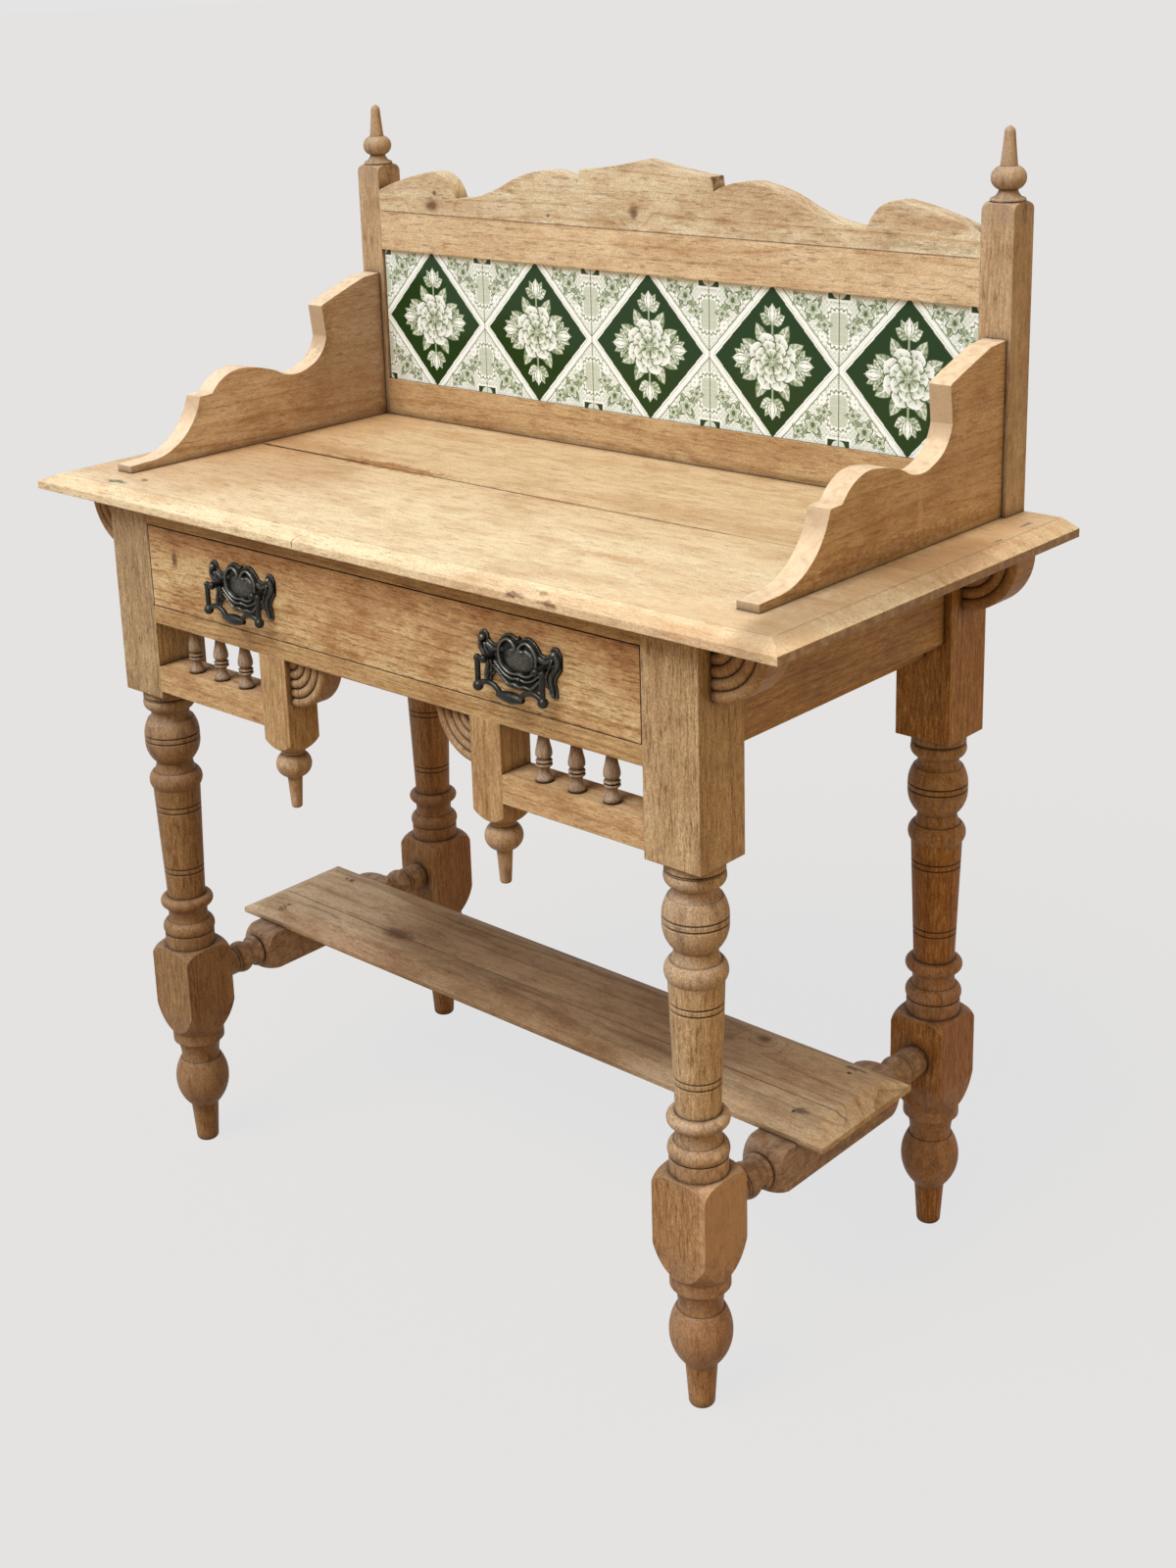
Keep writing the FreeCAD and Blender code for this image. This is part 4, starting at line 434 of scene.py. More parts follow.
TOP_SEAMS = (
    # the seam between the planks, widest at its left end, and the bevel's upper edges
    (1, 4.5, 1.8, 0.95, 0, -384, -215), (1, 4.5, 1.2, 0.75, 0, -384, 250),
    (1, 4.5, 0.8, 0.4, 0, 240, 446), (1, -203.5, 0.45, 0.3, 0, -446, 446),
    (0, 448.0, 0.5, 0.4, 1, -204, 215), (0, -448.0, 0.5, 0.3, 1, -204, 215))
TOP_MARKS = (
    # worn places at the right end, the right front corner and the left end
    ((432, 0, 739), (24, 260, 12), "#d0a576", 0.55),
    ((400, -200, 737), (190, 75, 16), "#dab88c", 0.5),
    ((-370, 120, 739), (95, 140, 12), "#c29868", 0.45),
    # a strip torn off beside the seam, two more scars, a green stain and a dark spot
    ((-188, 9, 739), (105, 13, 9), "#925f2c", 0.95),
    ((40, 4, 739), (70, 6, 9), "#ab7842", 0.6),
    ((215, -110, 739), (60, 9, 9), "#b98d58", 0.5),
    ((-374, -193, 739), (21, 6, 9), "#2f4a38", 0.95),
    ((-351, -174, 739), (5, 4, 9), "#4a3020", 0.8),
    # cracks at the right end and in the bevel, and chips of the front edge
    ((436, 182, 739), (2.2, 12, 6), "#3b2716", 0.85),
    ((444, 121, 739), (1.6, 9, 6), "#3b2716", 0.8),
    ((-74, -221, 730), (1.4, 6, 9), "#5a3b20", 0.85),
    ((200, -221, 731), (13, 5, 4), "#6b4526", 0.9),
    ((238, -221, 730), (14, 5, 3.5), "#7d5833", 0.8),
    ((226, -214, 736), (5, 3, 9), "#9a6f42", 0.8))
for board, pith in (("top_front_board", (0, -90, 640)), ("top_back_board", (0, 120, 668))):
    dress(board, pine(
        "scrubbed_pine_" + board, "X", pith, "#e1cca3", "#caa778", ring=7.0, rings=0.3, fibre=0.4,
        mottle=0.32, fleck=0.3, speckle=0.24, dirt_and_shade=0.6, rough=0.42, wear=0.3,
        fade=((0.0, -1.0, 0), -40, 120, "#f6e8c4"), faces=((0, 0.75, 0.95, "#7f6140", 0.85),),
        shades=(((-400, -70, 739), (260, 145, 60), "#e9dcd4"),
                ((436, -60, 739), (40, 220, 60), "#cfcbc7"),
                ((270, -222, 735), (240, 15, 30), "#f1e8e3")),
        seams=TOP_SEAMS, marks=TOP_MARKS))
# The screws are out of sight. They take the wood's shader, with its dirt and painted shade, in the
# colours of dull steel.
dress("top_screws", pine("plain_steel_top_screws", "X", (0, 0, 0), "#7a756f", "#4a4641"))


# Splashback frame
# Two square posts, screwed up through the top, end in turned finials. Rails under and over the tiles
# are grooved for them, and a thin board closes the back.

# The dirty joint between the upper rail and the crest.
CREST_SEAM = (2, 965.6, 0.6, 0.6, 0, -380, 380)
FINIAL_TURNED = ((995, 1078),)
for side, x in (("left", -430), ("right", 358)):
    dress("splash_post_" + side, pine("waxed_pine_splash_post_" + side, "Z", (x, 180, 0), "#cab594",
                                      "#9d7c54", worn=FINIAL_TURNED))
dress("splash_bottom_rail", pine("waxed_pine_splash_bottom_rail", "X", (0, 260, 700), "#c8ad83",
                                 "#a88456"))
dress("splash_top_rail", pine("waxed_pine_splash_top_rail", "X", (0, 250, 1010), "#e5d3b0",
                              "#c4a37a", seams=(CREST_SEAM,)))
bare_board = pine("bare_pine_boards", "X", (0, 330, 520), "#c8a57a", "#9a7550", rough=0.75,
                  fleck=0.1, wear=0.1)
dress("tile_backing", bare_board)


# Crest
# A scalloped board stands on the upper rail, sawn from a plank with several knots. Its corners are
# worn pale, and dirt fills the joint under it.

dress("crest_board", pine(
    "knotty_pine_crest", "X", (0, 268, 930), "#e5dcbf", "#bb9e74", rings=0.65, mottle=0.45,
    wear=0.9, seams=(CREST_SEAM,),
    knots=(((-297, 205, 975), 8.0, (0.8, 0, 1.3)), ((-292, 205, 989), 3.0, (1, 0, 1)),
           ((-14, 205, 983), 6.5, (1.1, 0, 1.0)), ((-128, 205, 974), 2.0, (1, 0, 1.4))),
    marks=(((84, 205, 1026), (2.5, 90, 12), "#4a2f1c", 0.9),
           ((320, 205, 972), (70, 90, 4), "#8f8468", 0.5))))


# Side boards
# A shaped board stands on each side of the top, screwed from below. Its upper edge was sawn to the
# curve, and its corners are worn pale.

for side, pith, pale, deep, outside in (
        ("left", (-450, 0, 720), "#e5d4c0", "#ba9970", -395),
        ("right", (440, 0, 735), "#d8be99", "#aa8357", 395)):
    dress("side_gallery_" + side, pine(
        "waxed_pine_side_board_" + side, "Y", pith, pale, deep, rings=0.5, fleck=0.3, wear=0.7,
        faces=((0, 0.8, 0.4, "#ecd7b6", 0.75), (1, 0.75, 0.97, "#8a6a48", 0.5)),
        # Painted shade over the back part of the left board.
        shades=(((-375, 170, 800), (60, 140, 160), "#ddd4ce"),),
        marks=(((outside, -70, 791), (14, 7, 12), "#86664e", 0.6),
               ((outside, 100, 845), (30, 16, 32), "#8a6646", 0.6),
               ((407, 10, 750), (5, 150, 9), "#7d5429", 0.6),
               ((407, 58, 772), (5, 4, 24), "#dcc8a8", 0.4))))


# Tiles
# Five six-inch wall tiles of pressed white clay, printed in green from an engraved plate and covered
# with a thick clear glaze. The glaze is glossy and a little uneven, and rounded at the edges.

def petal(u, v, start, angle, length, width, fat):
    """A petal or leaf: from its start it swells as the sine of a half turn along its length, later
    along it the larger fat is. Returns where it is, how far along, and how far across."""
    turn, lift = math.cos(angle), math.sin(angle)
    along = ((u - start[0]) * turn + (v - start[1]) * lift) / length
    across = ((v - start[1]) * turn - (u - start[0]) * lift) / width
    half = np.sin(np.pi * np.clip(along, 0, 1) ** fat) + 1e-6
    side = across / half
    return (along > 0) & (along < 1) & (np.abs(side) < 1), along, side


TILE = 152.4
HALF_TILE = TILE / 2
TILE_EDGE = 75.7
LOZENGE_RISE = 81
PANEL_RISE = 38.5
LOZENGE, BAND = 0.9, 1.04
CREAM, GREEN = 1.0, 0.0


def tile_print(u, v):
    """The printed pattern, from 0, full green, to 1, bare cream, for a point u to the right and v up
    from the middle of the tile, in millimetres. A lozenge is |u| / 76.2 + |v| / 81 below 0.9."""
    ring = np.abs(u) / HALF_TILE + np.abs(v) / LOZENGE_RISE
    tone = np.full_like(u, CREAM)
    # Corners: a diaper of crossed lines 3.5 mm apart, with a small ring in each mesh.
    corner = ring > BAND
    across, along = (u + v) * np.pi / 5, (u - v) * np.pi / 5
    lattice = (np.abs(np.sin(across)) < 0.17) | (np.abs(np.sin(along)) < 0.17)
    cell = np.hypot(np.cos(across), np.cos(along))
    tone = np.where(corner & lattice, 0.55, tone)
    tone = np.where(corner & (np.abs(cell - 0.42) < 0.13), 0.5, tone)
    # A panel of fine dots on each joint, in a cream rim with a scalloped line.
    du, dv = np.abs(u) - HALF_TILE, np.abs(v) - PANEL_RISE
    panel = (np.abs(du) / 12.5) ** 4 + (np.abs(dv) / 18) ** 4
    tone = np.where(panel < 1.9, CREAM, tone)
    stipple = np.sin(u * 2.6 + 0.3) * np.sin(v * 2.6) > 0.1
    tone = np.where(panel < 0.5, np.where(stipple, 0.62, 0.84), tone)
    scallop = np.abs(panel - 1.1 - 0.28 * np.cos(np.arctan2(dv, du) * 22))
    tone = np.where(scallop < 0.2, 0.4, tone)
    # A dark square at each corner of the tile, with a pale leaf to each side.
    dv = np.abs(v) - HALF_TILE
    square = (du > -12.5) & (dv > -10.5)
    tone = np.where((du > -14.5) & (dv > -12.5), CREAM, tone)
    tone = np.where(square, 0.02, tone)
    cross = np.abs(np.cos(1.5 * np.arctan2(dv + 10, du))) * 12
    tone = np.where(square & (np.hypot(du, dv + 10) < cross) & (dv < -2), 0.85, tone)
    # The band round the lozenge, cream with a row of fine dots and a line at its outer edge.
    tone = np.where((ring > LOZENGE) & (ring <= BAND), CREAM, tone)
    tone = np.where(np.abs(ring - 1.035) < 0.009, 0.35, tone)
    dotted = np.sin((np.abs(u) - np.abs(v)) * 2.2) > 0
    tone = np.where((np.abs(ring - 0.935) < 0.008) & dotted, 0.5, tone)
    tone = np.where(ring <= LOZENGE, GREEN, tone)
    # A spray in each corner: three round five-petalled flowers, each on four leaves.
    for at, size, spin in (((47, 55), 10.5, 0.3), ((60, 41), 6.5, 1.1), ((30, 63), 6.5, 0.0)):
        su, sv = np.abs(u) - at[0], np.abs(v) - at[1]
        for leaf in (spin + 0.6, spin + 2.2, spin + 3.9, spin + 5.3):
            where, along, side = petal(su, sv, (0, 0), leaf, size * 1.55, size * 0.4, 0.8)
            shade = np.where(np.abs(side) < 0.2, 0.35, 0.6 + 0.2 * side)
            tone = np.where(where, np.where(np.abs(side) > 0.8, 0.2, shade), tone)
        far, angle = np.hypot(su, sv), np.arctan2(sv, su) + spin
        head = size * (0.8 + 0.2 * np.cos(5 * angle))
        rays = (np.cos(25 * angle) > 0.6) * (far < head * 0.7)
        inner = 0.98 - 0.45 * np.clip(1 - far / head, 0, 1) - 0.3 * rays
        tone = np.where(far < head, np.where(far > head * 0.88, 0.2, inner), tone)
        tone = np.where(far < size * 0.22, 0.25, tone)
    # The flower of the lozenge.
    inside = ring <= LOZENGE
    flower = tone
    for turn in range(4):
        angle = math.pi / 2 * turn
        reach = 29 if turn % 2 == 0 else 37
        stem, along, side = petal(u, v, (0, 0), angle, reach + 14, 1.3, 1.0)
        flower = np.where(stem, 0.62, flower)
        tip = (reach * math.cos(angle), reach * math.sin(angle))
        for bend, length, width in ((1.05, 17, 6.2), (-1.05, 17, 6.2), (0.5, 19, 5.0), (-0.5, 19, 5.0)):
            where, along, side = petal(u, v, tip, angle + bend, length, width, 0.75)
            veins = np.cos(26 * along - 5 * np.abs(side)) > 0.35
            shade = 0.86 + 0.16 * along - 0.32 * veins - 0.4 * (np.abs(side) < 0.1) - 0.2 * (side > 0)
            shade = np.where(np.abs(side) > 0.88, 0.25, shade)
            flower = np.where(where, shade, flower)
        bud, along, side = petal(u, v, tip, angle, 19, 6.2, 0.9)
        shade = 1.0 - 0.5 * (np.abs(np.abs(side) - 0.45) < 0.09) - 0.5 * np.clip(0.3 - along, 0, 1)
        shade = np.where(np.abs(side) > 0.86, 0.2, shade)
        flower = np.where(bud, shade, flower)
    for turn in range(4):
        angle = math.pi / 4 + math.pi / 2 * turn
        for bend in (-0.3, 0.3):
            where, along, side = petal(u, v, (0, 0), angle + bend, 41, 8.0, 1.5)
            veins = np.cos(40 * along - 6 * np.abs(side)) > 0.45
            shade = 0.42 + 0.3 * along - 0.2 * veins + 0.4 * (np.abs(side) < 0.1) + 0.15 * side
            flower = np.where(where, np.where(np.abs(side) > 0.86, 0.05, shade), flower)
    for count, length, width, start in ((8, 30, 12.0, 0.39), (7, 22, 9.6, 0.1), (5, 13.5, 7.4, 0.5)):
        for turn in range(count):
            angle = start + 2 * math.pi * turn / count
            where, along, side = petal(u, v, (0, 0), angle, length, width, 1.9)
            lines = np.cos(9 * side) * (along < 0.72 + 0.1 * np.cos(13 * side)) > 0.6
            shade = 0.48 + 0.62 * np.clip(along, 0, 1) ** 1.6 - 0.3 * lines - 0.12 * side
            shade = np.where((np.abs(side) > 0.87) | (along > 0.97), 0.12, shade)
            flower = np.where(where, shade, flower)
    dotted = np.sin(u * 3.4) * np.sin(v * 3.4) > 0.1
    flower = np.where(np.hypot(u, v) < 4.2, np.where(dotted, 0.2, 0.85), flower)
    tone = np.where(inside, flower, tone)
    # The edge of the tile, a thin grey line where it meets the next.
    tone = np.where(np.maximum(np.abs(u), np.abs(v)) > TILE_EDGE, 0.45, tone)
    return np.clip(tone, 0, 1)


TILE_CELLS = 216
TILE_RIM = 1.2
TILE_WALL_TONE = 0.97
glaze = bpy.data.materials.new("printed_glazed_tile")
glaze.use_nodes = True
tree = glaze.node_tree
tree.nodes.clear()
ink = add(tree, "ShaderNodeAttribute", attribute_name="print").outputs["Fac"]
clay = add(tree, "ShaderNodeValToRGB", {0: ink}, (
    (0.0, "#1f3b18"), (0.3, "#5b7350"), (0.62, "#a9b69a"), (1.0, "#f0f7f7"))).outputs[0]
place = add(tree, "ShaderNodeTexCoord").outputs["Object"]
swell = add(tree, "ShaderNodeTexNoise", {"Vector": place, "Scale": 45.0, "Detail": 1.0}).outputs[0]
ripple = add(tree, "ShaderNodeBump", {"Strength": 0.12, "Distance": 0.0008, "Height": swell}).outputs[0]
gleam = add(tree, "ShaderNodeBsdfPrincipled", {
    "Base Color": clay, "Roughness": 0.14, "IOR": 1.52, "Specular IOR Level": 0.25, "Normal": ripple})
add(tree, "ShaderNodeOutputMaterial", {"Surface": gleam.outputs[0]})

for number in range(1, 6):
    low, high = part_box(f"tile_{number}")
    # A square grid for the front, its rim bent back by a 1.2 mm quarter circle, then straight walls
    # and a flat back that meets in one middle point.
    s = np.linspace(0, 1, TILE_CELLS + 1)
    a, b = np.meshgrid(s, s, indexing="xy")
    u = (a - 0.5) * TILE
    v = (b - 0.5) * TILE
    rim = np.clip(TILE_RIM - (HALF_TILE - np.maximum(np.abs(u), np.abs(v))), 0, TILE_RIM)
    sink = (TILE_RIM - np.sqrt(TILE_RIM ** 2 - rim ** 2)) / 1000
    x = low[0] + (high[0] - low[0]) * a
    z = low[2] + (high[2] - low[2]) * b
    points = np.stack([x, low[1] + sink, z], axis=-1).reshape(-1, 3)
    tone = tile_print(u, v).reshape(-1)
    row = TILE_CELLS + 1
    cell = (np.arange(TILE_CELLS)[:, None] * row + np.arange(TILE_CELLS)[None, :]).reshape(-1)
    front = np.stack([cell, cell + 1, cell + row + 1, cell + row], axis=-1)
    line = np.arange(TILE_CELLS)
    loop = np.concatenate([line, line * row + TILE_CELLS, (row - 1) * row + TILE_CELLS - line,
                           (TILE_CELLS - line) * row])
    wall = points[loop].copy()
    wall[:, 1] = high[1]
    first = len(points)
    back = first + np.arange(len(loop))
    middle = np.array([[(low[0] + high[0]) / 2, high[1], (low[2] + high[2]) / 2]])
    points = np.concatenate([points, wall, middle])
    tone = np.concatenate([tone, np.full(len(loop) + 1, TILE_WALL_TONE)])
    sides = np.stack([loop, back, np.roll(back, -1), np.roll(loop, -1)], axis=-1)
    fan = np.stack([np.full(len(loop), len(points) - 1), np.roll(back, -1), back], axis=-1)
    mesh = bpy.data.meshes.new(f"printed_tile_{number}")
    mesh.from_pydata(points.tolist(), [], front.tolist() + sides.tolist() + fan.tolist())
    mesh.attributes.new("print", "FLOAT", "POINT").data.foreach_set("value", tone.astype(np.float32))
    mesh.materials.append(glaze)
    piece = bpy.data.objects.new(f"printed_tile_{number}", mesh)
    bpy.context.collection.objects.link(piece)
    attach(piece, "stand")
    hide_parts(f"tile_{number}")


# Shelf and stretchers
# A low shelf of two bevelled boards is nailed on two square bars, turned at their ends, which join the
# legs. Feet and wet pails have worn the shelf grey, and the nails have rusted into it.

SHELF_MARKS = (
    # rust round the four nails
    ((-337, 50, 227), (7, 6, 9), "#40301f", 0.9), ((-346, -43, 227), (8, 6, 9), "#4a3826", 0.8),
    ((346, 63, 227), (14, 6, 9), "#40301f", 0.9), ((350, -31, 227), (9, 6, 9), "#4a3826", 0.8))
for board, pith in (("shelf_front_board", (0, -45, 120)), ("shelf_back_board", (0, 60, 140))):
    dress(board, pine("worn_pine_" + board, "X", pith, "#dac5a3", "#927a5c", ring=5.5, rings=0.5,
                      mottle=0.45, fleck=0.2, rough=0.6,
                      seams=((1, -11.5, 0.7, 0.7, 0, -390, 390),),
                      knots=(((-196, -10, 227), 13, (0.6, 1.3, 0)),
                             ((246, 53, 227), 6, (0.7, 1, 0))),
                      # A painted shadow of the top over the middle of the shelf, and painted shade on
                      # the left of its front bevel.
                      shades=(((25, 12, 227), (305, 125, 200), "#b6a797"),
                              ((-235, -56, 222), (150, 24, 30), "#e7ddd8")),
                      marks=SHELF_MARKS))
for side, x in (("left", -345), ("right", 345)):
    dress("stretcher_" + side, pine("waxed_pine_stretcher_" + side, "Y", (x, 0, 150), "#95734d",
                                    "#6b4625", worn=((0, TALLEST),)))
# The nails take the wood's shader, with its dirt and painted shade, in the colours of rust.
dress("shelf_nails", pine("rusted_steel_nails", "Z", (0, 0, 0), "#4a3526", "#2a1d15"))


# Drawer
# The drawer's front is a thick board of strongly marked pine, and its sides, back and bottom are thin
# bare pine behind it.

drawer_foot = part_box("drawer_front")[0][2] * 1000
# The drawer front darkens towards its upper edge: a painted shadow of the top's overhang.
dress("drawer_front", pine(
    "waxed_pine_drawer_front", "X", (0, -140, 590), "#e1ca9a", "#9f7440", rings=0.6, fleck=0.5,
    mottle=0.6, grime_and_shade=(664, 706, "#e4ccbd"), knots=(((-277, -200, 675), 5, (1.3, 0, 0.5)),),
    seams=((2, drawer_foot, 0.9, 0.9, 0, -318, 318),),
    marks=(((-30, -200, 664), (120, 9, 36), "#a87443", 0.4),)))
for board in ("drawer_side_left", "drawer_side_right"):
    dress(board, bare)
dress("drawer_back", bare_board)
dress("drawer_bottom", bare_board)


# Handles
# Each handle is a pierced cast plate with a swinging bail on two bolts. The iron is blackened, dull in
# the hollows, and rubbed on the ribs and edges. On the plate the ribs are painted paler as a
# highlight too, and the dome of the heart has a painted sheen.

iron = bpy.data.materials.new("blackened_cast_iron")
iron.use_nodes = True
tree = iron.node_tree
tree.nodes.clear()
place = add(tree, "ShaderNodeTexCoord").outputs["Object"]
sand = add(tree, "ShaderNodeTexNoise", {"Vector": place, "Scale": 900.0, "Detail": 3.0}).outputs[0]
bloom = add(tree, "ShaderNodeTexNoise", {"Vector": place, "Scale": 120.0, "Detail": 3.0}).outputs[0]
lay = add(tree, "ShaderNodeNewGeometry").outputs["Normal"]
rounded = add(tree, "ShaderNodeBevel", {"Radius": 0.0009}, samples=4).outputs[0]
rubbed = spread(tree, reckon_vector(tree, "DOT_PRODUCT", lay, rounded), 0.98, 0.8, 0.0, 0.5)
skin = add(tree, "ShaderNodeValToRGB", {0: bloom}, ((0.3, "#24231f"), (0.7, "#3d3c35"))).outputs[0]
skin = blend(tree, rubbed, skin, "#77756a")
grit = add(tree, "ShaderNodeBump", {"Strength": 0.3, "Distance": 0.0002, "Height": sand,
                                    "Normal": rounded}).outputs[0]
dull = spread(tree, bloom, 0.3, 0.7, 0.27, 0.44)
cast = add(tree, "ShaderNodeBsdfPrincipled", {
    "Base Color": skin, "Metallic": 0.75, "Roughness": dull, "Normal": grit})
add(tree, "ShaderNodeOutputMaterial", {"Surface": cast.outputs[0]})
for node in ("handle_bail_left", "handle_bail_right", "handle_bolts", "handle_nuts"):
    dress(node, iron)
scrolled_iron = iron.copy()
scrolled_iron.name = "scrolled_cast_iron"
tree = scrolled_iron.node_tree
# The plate's colour follows rub_and_sheen: rubbed ribs with a painted highlight, and a painted sheen on
# the dome.
rub_and_sheen = add(tree, "ShaderNodeAttribute", attribute_name="rub_and_sheen").outputs["Fac"]
place = add(tree, "ShaderNodeTexCoord").outputs["Object"]
sand = add(tree, "ShaderNodeTexNoise", {"Vector": place, "Scale": 700.0, "Detail": 2.0}).outputs[0]
skin = add(tree, "ShaderNodeValToRGB", {0: reckon(tree, "MULTIPLY_ADD", sand, 0.5, rub_and_sheen)}, (
    (0.55, "#0e0d0b"), (0.73, "#302f2a"), (0.87, "#4b4941"), (1.0, "#6c695e"))).outputs[0]
tree.links.new(skin, tree.nodes["Principled BSDF"].inputs["Base Color"])


def nearest(u, v, line):
    """How far each point is from a line of points, and how far along the line, from 0 to 1."""
    gap = np.hypot(u[..., None] - line[:, 0], v[..., None] - line[:, 1])
    return gap.min(axis=-1), gap.argmin(axis=-1) / (len(line) - 1)


# Half of the plate's scrollwork, in millimetres right of its middle and above its pins: each rib's
# line, its half widths at start and end, and its heights there.
PLATE_RIBS = (
    # the thick rim of the heart-shaped boss, which curls in at the top
    (((5.6, 10.0), (3.2, 10.2), (3.0, 13.4), (6.2, 17.0), (11.0, 18.3), (16.5, 15.6), (20.6, 10.0),
      (21.6, 3.0), (19.6, -4.0), (14.6, -9.0), (8.0, -11.2), (0.0, -10.4)), 1.7, 1.2, 6.0, 5.2),
    # the bar from the boss to the ear
    (((20.0, 7.5), (25.0, 5.6), (31.0, 5.0), (37.0, 8.0)), 2.6, 2.6, 3.6, 3.6),
    (((21.0, -1.0), (27.0, 0.6), (33.0, 1.0), (38.0, 3.0)), 2.4, 2.2, 3.0, 3.0),
    # the ear, a lobe that bends out and in again to the tail below
    (((40.6, 14.8), (43.2, 11.0), (43.6, 6.0), (40.2, 0.6), (36.6, -5.0), (35.6, -11.0),
      (37.2, -17.0), (37.9, -21.0)), 2.5, 1.7, 5.2, 4.2),
    # the thin rib inside the ear
    (((38.6, 9.0), (36.0, 3.0), (33.0, -3.0), (31.4, -9.0), (32.6, -14.5)), 1.1, 0.9, 4.4, 4.0),
    # the apron under the boss, scalloped, with its rib along the edge
    (((31.0, -7.0), (26.0, -10.5), (21.0, -14.5), (16.5, -18.8), (12.5, -21.2), (6.4, -20.6),
      (3.0, -21.4), (0.0, -21.8)), 1.5, 1.3, 4.6, 4.4),
    (((27.5, -4.5), (22.0, -9.0), (15.5, -13.6), (8.0, -15.8), (2.6, -15.0)), 1.2, 1.1, 4.6, 4.8),
)
# The plate's beads, from the same point: place, radius and height.
PLATE_BEADS = ((0.0, -15.0, 2.3, 5.6), (0.0, 20.2, 1.5, 4.6), (40.8, 14.4, 3.6, 6.2),
               (37.9, -20.6, 2.2, 4.8), (26.6, -7.6, 2.0, 5.2))
# The grid that the plate is laid on, and the least height that counts as iron, in millimetres.
STEP = 0.36
PLATE_WIDTH, PLATE_HEIGHT = (-47.5, 47.6), (-24.2, 23.0)
THINNEST = 0.2
# The level of the bails' pins, in metres.
PIN_LEVEL = 0.6655
RIB_SWELL = 1.2
# Two ovals, the heart and the dome in it: half width, half height and the middle's height.
HEART_OVAL, DOME_OVAL = (21.5, 15.8, 3.4), (17.5, 11.5, 1.5)
# The thin ground reaches 2.2 mm past the ribs and is 1.8 mm thick, with 1.6 mm round the dome.
GROUND, GROUND_MARGIN, DOME_GROUND, DOME = 1.8, 2.2, 1.6, 3.8


def oval(u, v, wide, tall, middle):
    """Below 1 inside an oval, and 1 on its edge."""
    return (u / wide) ** 2 + ((v - middle) / tall) ** 2


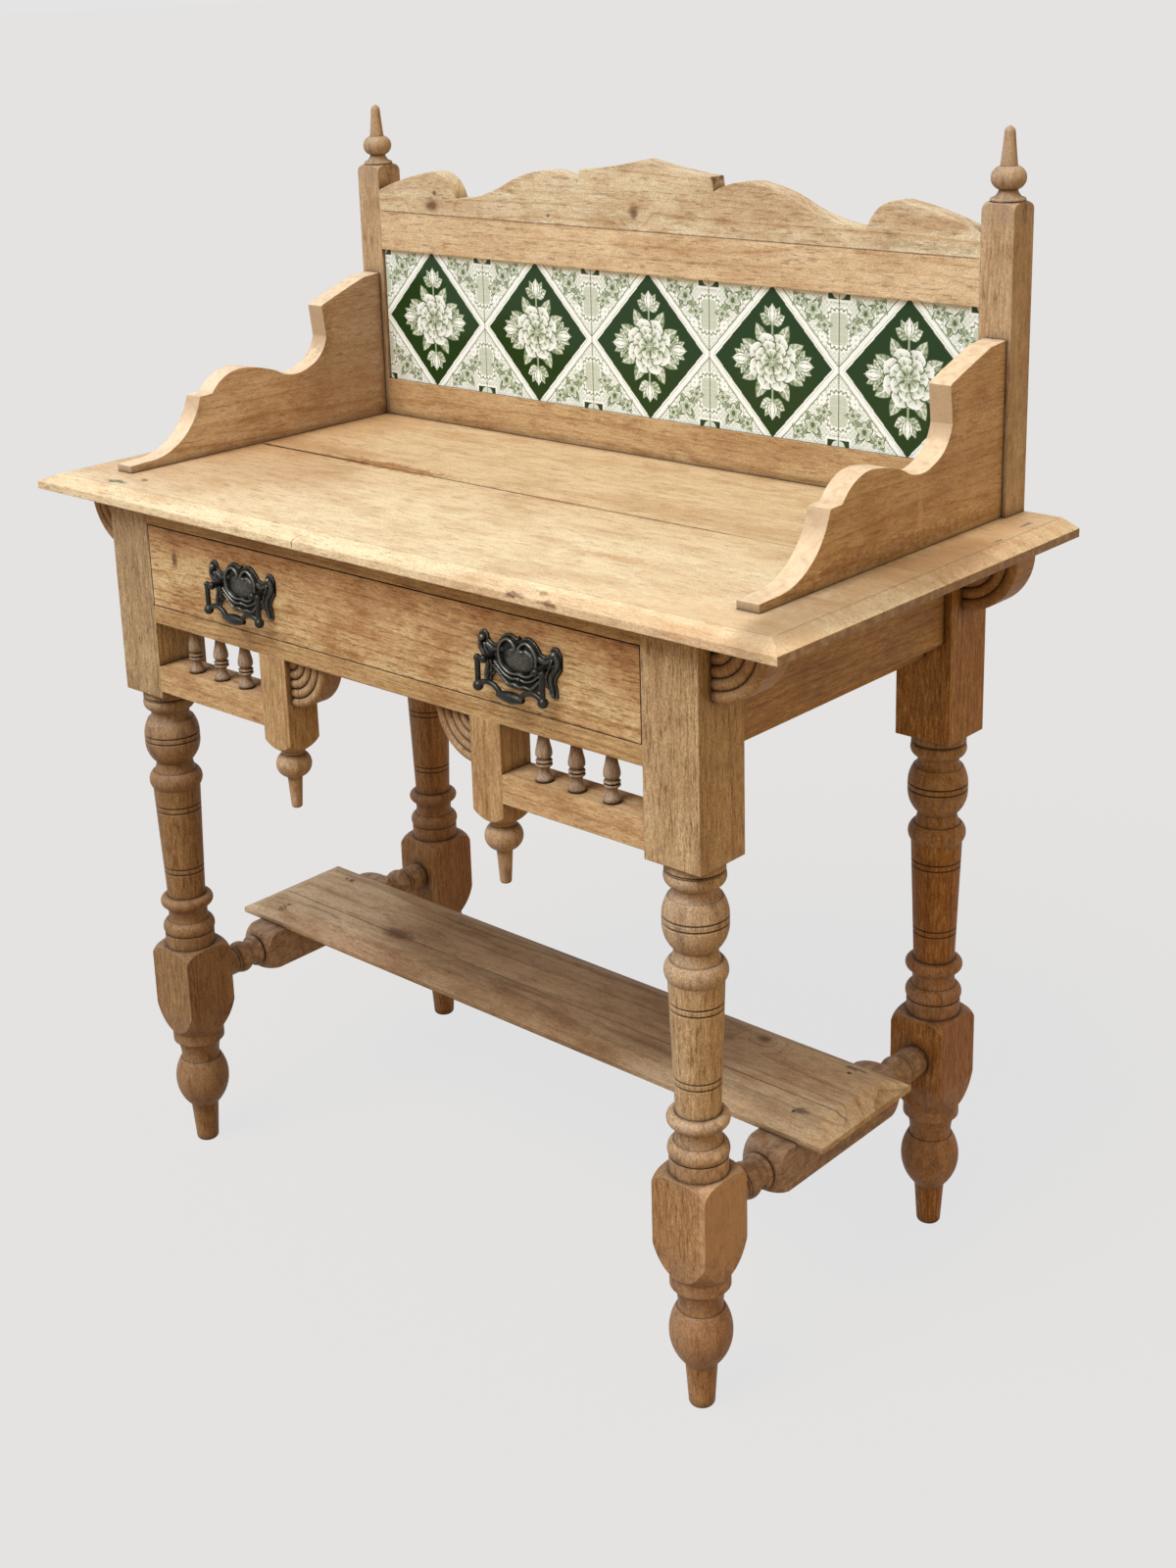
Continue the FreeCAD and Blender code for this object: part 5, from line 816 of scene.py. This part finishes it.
# The handles stand 179.5 mm to each side of a line that is 6 mm to the right of the middle.
for side, centre in (("left", -0.1735), ("right", 0.1855)):
    low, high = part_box("handle_plate_" + side)
    face = high[1]
    grid_u, grid_v = np.meshgrid(np.arange(*PLATE_WIDTH, STEP), np.arange(*PLATE_HEIGHT, STEP),
                                 indexing="xy")
    half = np.abs(grid_u)
    # The height over the drawer's face: the tallest of a thin ground, the dome in the heart, and the
    # ribs and beads, each a half round.
    domed = oval(half, grid_v, *HEART_OVAL)
    boss = oval(half, grid_v, *DOME_OVAL)
    swell = np.sqrt(np.clip(1 - boss, 0, 1))
    height = np.where(domed < 1, DOME_GROUND, 0.0) + np.where(boss < 1, DOME * swell, 0.0)
    # The apron's ground lies over a shallow curve, under the boss and inside two slanting edges.
    apron = (grid_v > -21.0 + 0.012 * half ** 2) & (half < 30) & (grid_v < 4 - 0.1 * half) & (
        grid_v > -25 + 0.62 * half)
    height = np.where(apron, np.maximum(height, GROUND), height)
    for line, start, end, first, last in PLATE_RIBS:
        gap, share = nearest(half, grid_v, ribbon(line, 90))
        width = (start + (end - start) * share) * RIB_SWELL
        crown = first + (last - first) * share
        height = np.maximum(height, crown * np.sqrt(np.clip(1 - (gap / width) ** 2, 0, 1)) ** 0.8)
        height = np.maximum(height, np.where(gap < width + GROUND_MARGIN, GROUND, 0))
    for u, v, radius, crown in PLATE_BEADS:
        gap = np.hypot(half - u, grid_v - v)
        height = np.maximum(height, crown * np.sqrt(np.clip(1 - (gap / radius) ** 2, 0, 1)))
    solid = height > THINNEST
    around = solid.copy()
    around[1:] |= solid[:-1]
    around[:-1] |= solid[1:]
    around[:, 1:] |= around[:, :-1].copy()
    around[:, :-1] |= around[:, 1:].copy()
    # What stands out from its surroundings within 2 mm is rubbed bright and painted paler as a
    # highlight, what lies deeper is black, and the dome of the heart has a painted sheen, palest in
    # its middle.
    steps = range(-5, 6)
    about = sum(np.roll(height, (i, j), (0, 1)) for i in steps for j in steps) / len(steps) ** 2
    rub_and_sheen = np.clip(0.5 + (height - about) / 4, 0, 1)
    rub_and_sheen = np.maximum(rub_and_sheen, np.where(boss < 1, 0.46 + 0.2 * swell, 0))
    height = np.where(solid, height, 0.0) / 1000
    # The front sheet and a flat back sheet share the rim, where the height is nothing.
    rows, cols = height.shape
    x = centre + grid_u / 1000
    z = PIN_LEVEL + grid_v / 1000
    front = np.stack([x, face - height, z], axis=-1).reshape(-1, 3)
    back = np.stack([x, np.full_like(x, face), z], axis=-1).reshape(-1, 3)
    index = np.arange(rows * cols).reshape(rows, cols)
    under = np.where(solid, index + rows * cols, index)
    full = around[:-1, :-1] & around[1:, :-1] & around[:-1, 1:] & around[1:, 1:]
    top = np.stack([index[:-1, :-1], index[:-1, 1:], index[1:, 1:], index[1:, :-1]], axis=-1)[full]
    bottom = np.stack([under[:-1, :-1], under[1:, :-1], under[1:, 1:], under[:-1, 1:]], axis=-1)[full]
    raised = (solid[:-1, :-1] | solid[1:, :-1] | solid[:-1, 1:] | solid[1:, 1:])[full]
    faces = np.concatenate([top[raised], bottom[raised]])
    used, faces = np.unique(faces, return_inverse=True)
    points = np.concatenate([front, back])[used]
    rub_and_sheen = np.concatenate([rub_and_sheen.reshape(-1), np.zeros(rub_and_sheen.size)])[used]
    mesh = bpy.data.meshes.new("scrolled_plate_" + side)
    mesh.from_pydata(points.tolist(), [], faces.reshape(-1, 4).tolist())
    mesh.polygons.foreach_set("use_smooth", np.ones(len(mesh.polygons), bool))
    mesh.attributes.new("rub_and_sheen", "FLOAT", "POINT").data.foreach_set("value", rub_and_sheen.astype(np.float32))
    mesh.materials.append(scrolled_iron)
    piece = bpy.data.objects.new("scrolled_plate_" + side, mesh)
    bpy.context.collection.objects.link(piece)
    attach(piece, "drawer")
    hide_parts("handle_plate_" + side)


# Floor, light and camera
# A plain pale floor that takes the stand's faint shadow, a broad soft light from the upper left, and a
# world of pale light, cool from the left and warm from the right.

def backdrop_share(tree):
    """1 where the camera sees a surface straight, in a gleam or through glass, and 0 for its light."""
    path = add(tree, "ShaderNodeLightPath").outputs
    seen = reckon(tree, "ADD", path["Is Camera Ray"], path["Is Glossy Ray"])
    return reckon(tree, "ADD", seen, path["Is Transmission Ray"], clamp=True)


STUDIO_GREY = "#e4e4e4"
FLOOR_REACH = 60
GLOW_SHARE = 0.86
mesh = bpy.data.meshes.new("studio_floor")
corners = [(x * FLOOR_REACH, y * FLOOR_REACH, 0) for x, y in ((-1, -1), (1, -1), (1, 1), (-1, 1))]
mesh.from_pydata(corners, [], [(0, 1, 2, 3)])
floor = bpy.data.objects.new("studio_floor", mesh)
bpy.context.collection.objects.link(floor)
paper = bpy.data.materials.new("matt_studio_paper")
paper.use_nodes = True
tree = paper.node_tree
tree.nodes.clear()
share = reckon(tree, "MULTIPLY", backdrop_share(tree), GLOW_SHARE)
matt = add(tree, "ShaderNodeBsdfDiffuse", {"Color": linear("#988062")}).outputs[0]
glow = add(tree, "ShaderNodeEmission", {"Color": linear("#ecedee"), "Strength": 1.0}).outputs[0]
both = add(tree, "ShaderNodeMixShader", {0: share, 1: matt, 2: glow}).outputs[0]
add(tree, "ShaderNodeOutputMaterial", {"Surface": both})
mesh.materials.append(paper)

world = bpy.data.worlds.new("studio_light")
bpy.context.scene.world = world
world.use_nodes = True
tree = world.node_tree
tree.nodes.clear()
seen = backdrop_share(tree)
towards = add(tree, "ShaderNodeTexCoord").outputs["Generated"]
towards = add(tree, "ShaderNodeSeparateXYZ", {0: towards}).outputs["X"]
warm = spread(tree, towards, -0.45, 0.35, soft=True)
walls = blend(tree, warm, (0.46, 0.48, 0.5, 1), (0.66, 0.43, 0.17, 1))
room = add(tree, "ShaderNodeBackground", {"Color": walls, "Strength": 1.0}).outputs[0]
back = add(tree, "ShaderNodeBackground", {"Color": linear(STUDIO_GREY), "Strength": 1.0}).outputs[0]
both = add(tree, "ShaderNodeMixShader", {0: seen, 1: room, 2: back}).outputs[0]
add(tree, "ShaderNodeOutputWorld", {"Surface": both})

lamp = bpy.data.lights.new("window_light", "SUN")
lamp.energy = 3.08
lamp.angle = math.radians(38)
lamp.color = (0.98, 1.03, 1.13)
sun = bpy.data.objects.new("window_light", lamp)
above = Vector((-0.05, -0.56, 0.82)).normalized()
sun.matrix_world = above.to_track_quat("Z", "Y").to_matrix().to_4x4()
bpy.context.collection.objects.link(sun)

# The camera of the photograph, found from points whose places on the stand are known.
CAMERA_DISTANCE = 1.975
azimuth, elevation, roll = (math.radians(angle) for angle in (42.539, 16.688, -1.778))
target = Vector((0.058, 0.0, 0.6577))
behind = Vector((math.sin(azimuth) * math.cos(elevation), -math.cos(azimuth) * math.cos(elevation),
                 math.sin(elevation)))
level = (-behind).cross(Vector((0, 0, 1))).normalized()
upward = level.cross(-behind)
right = level * math.cos(roll) + upward * math.sin(roll)
over = upward * math.cos(roll) - level * math.sin(roll)
lens = bpy.data.cameras.new("camera")
lens.sensor_width = 36
lens.lens = 48.25
lens.shift_x = 0.0125
lens.shift_y = -0.125
eye = bpy.data.objects.new("camera", lens)
turned = Matrix((right, over, behind)).transposed().to_4x4()
eye.matrix_world = Matrix.Translation(target + behind * CAMERA_DISTANCE) @ turned
bpy.context.collection.objects.link(eye)
bpy.context.scene.camera = eye
bpy.context.scene.view_settings.view_transform = "Standard"
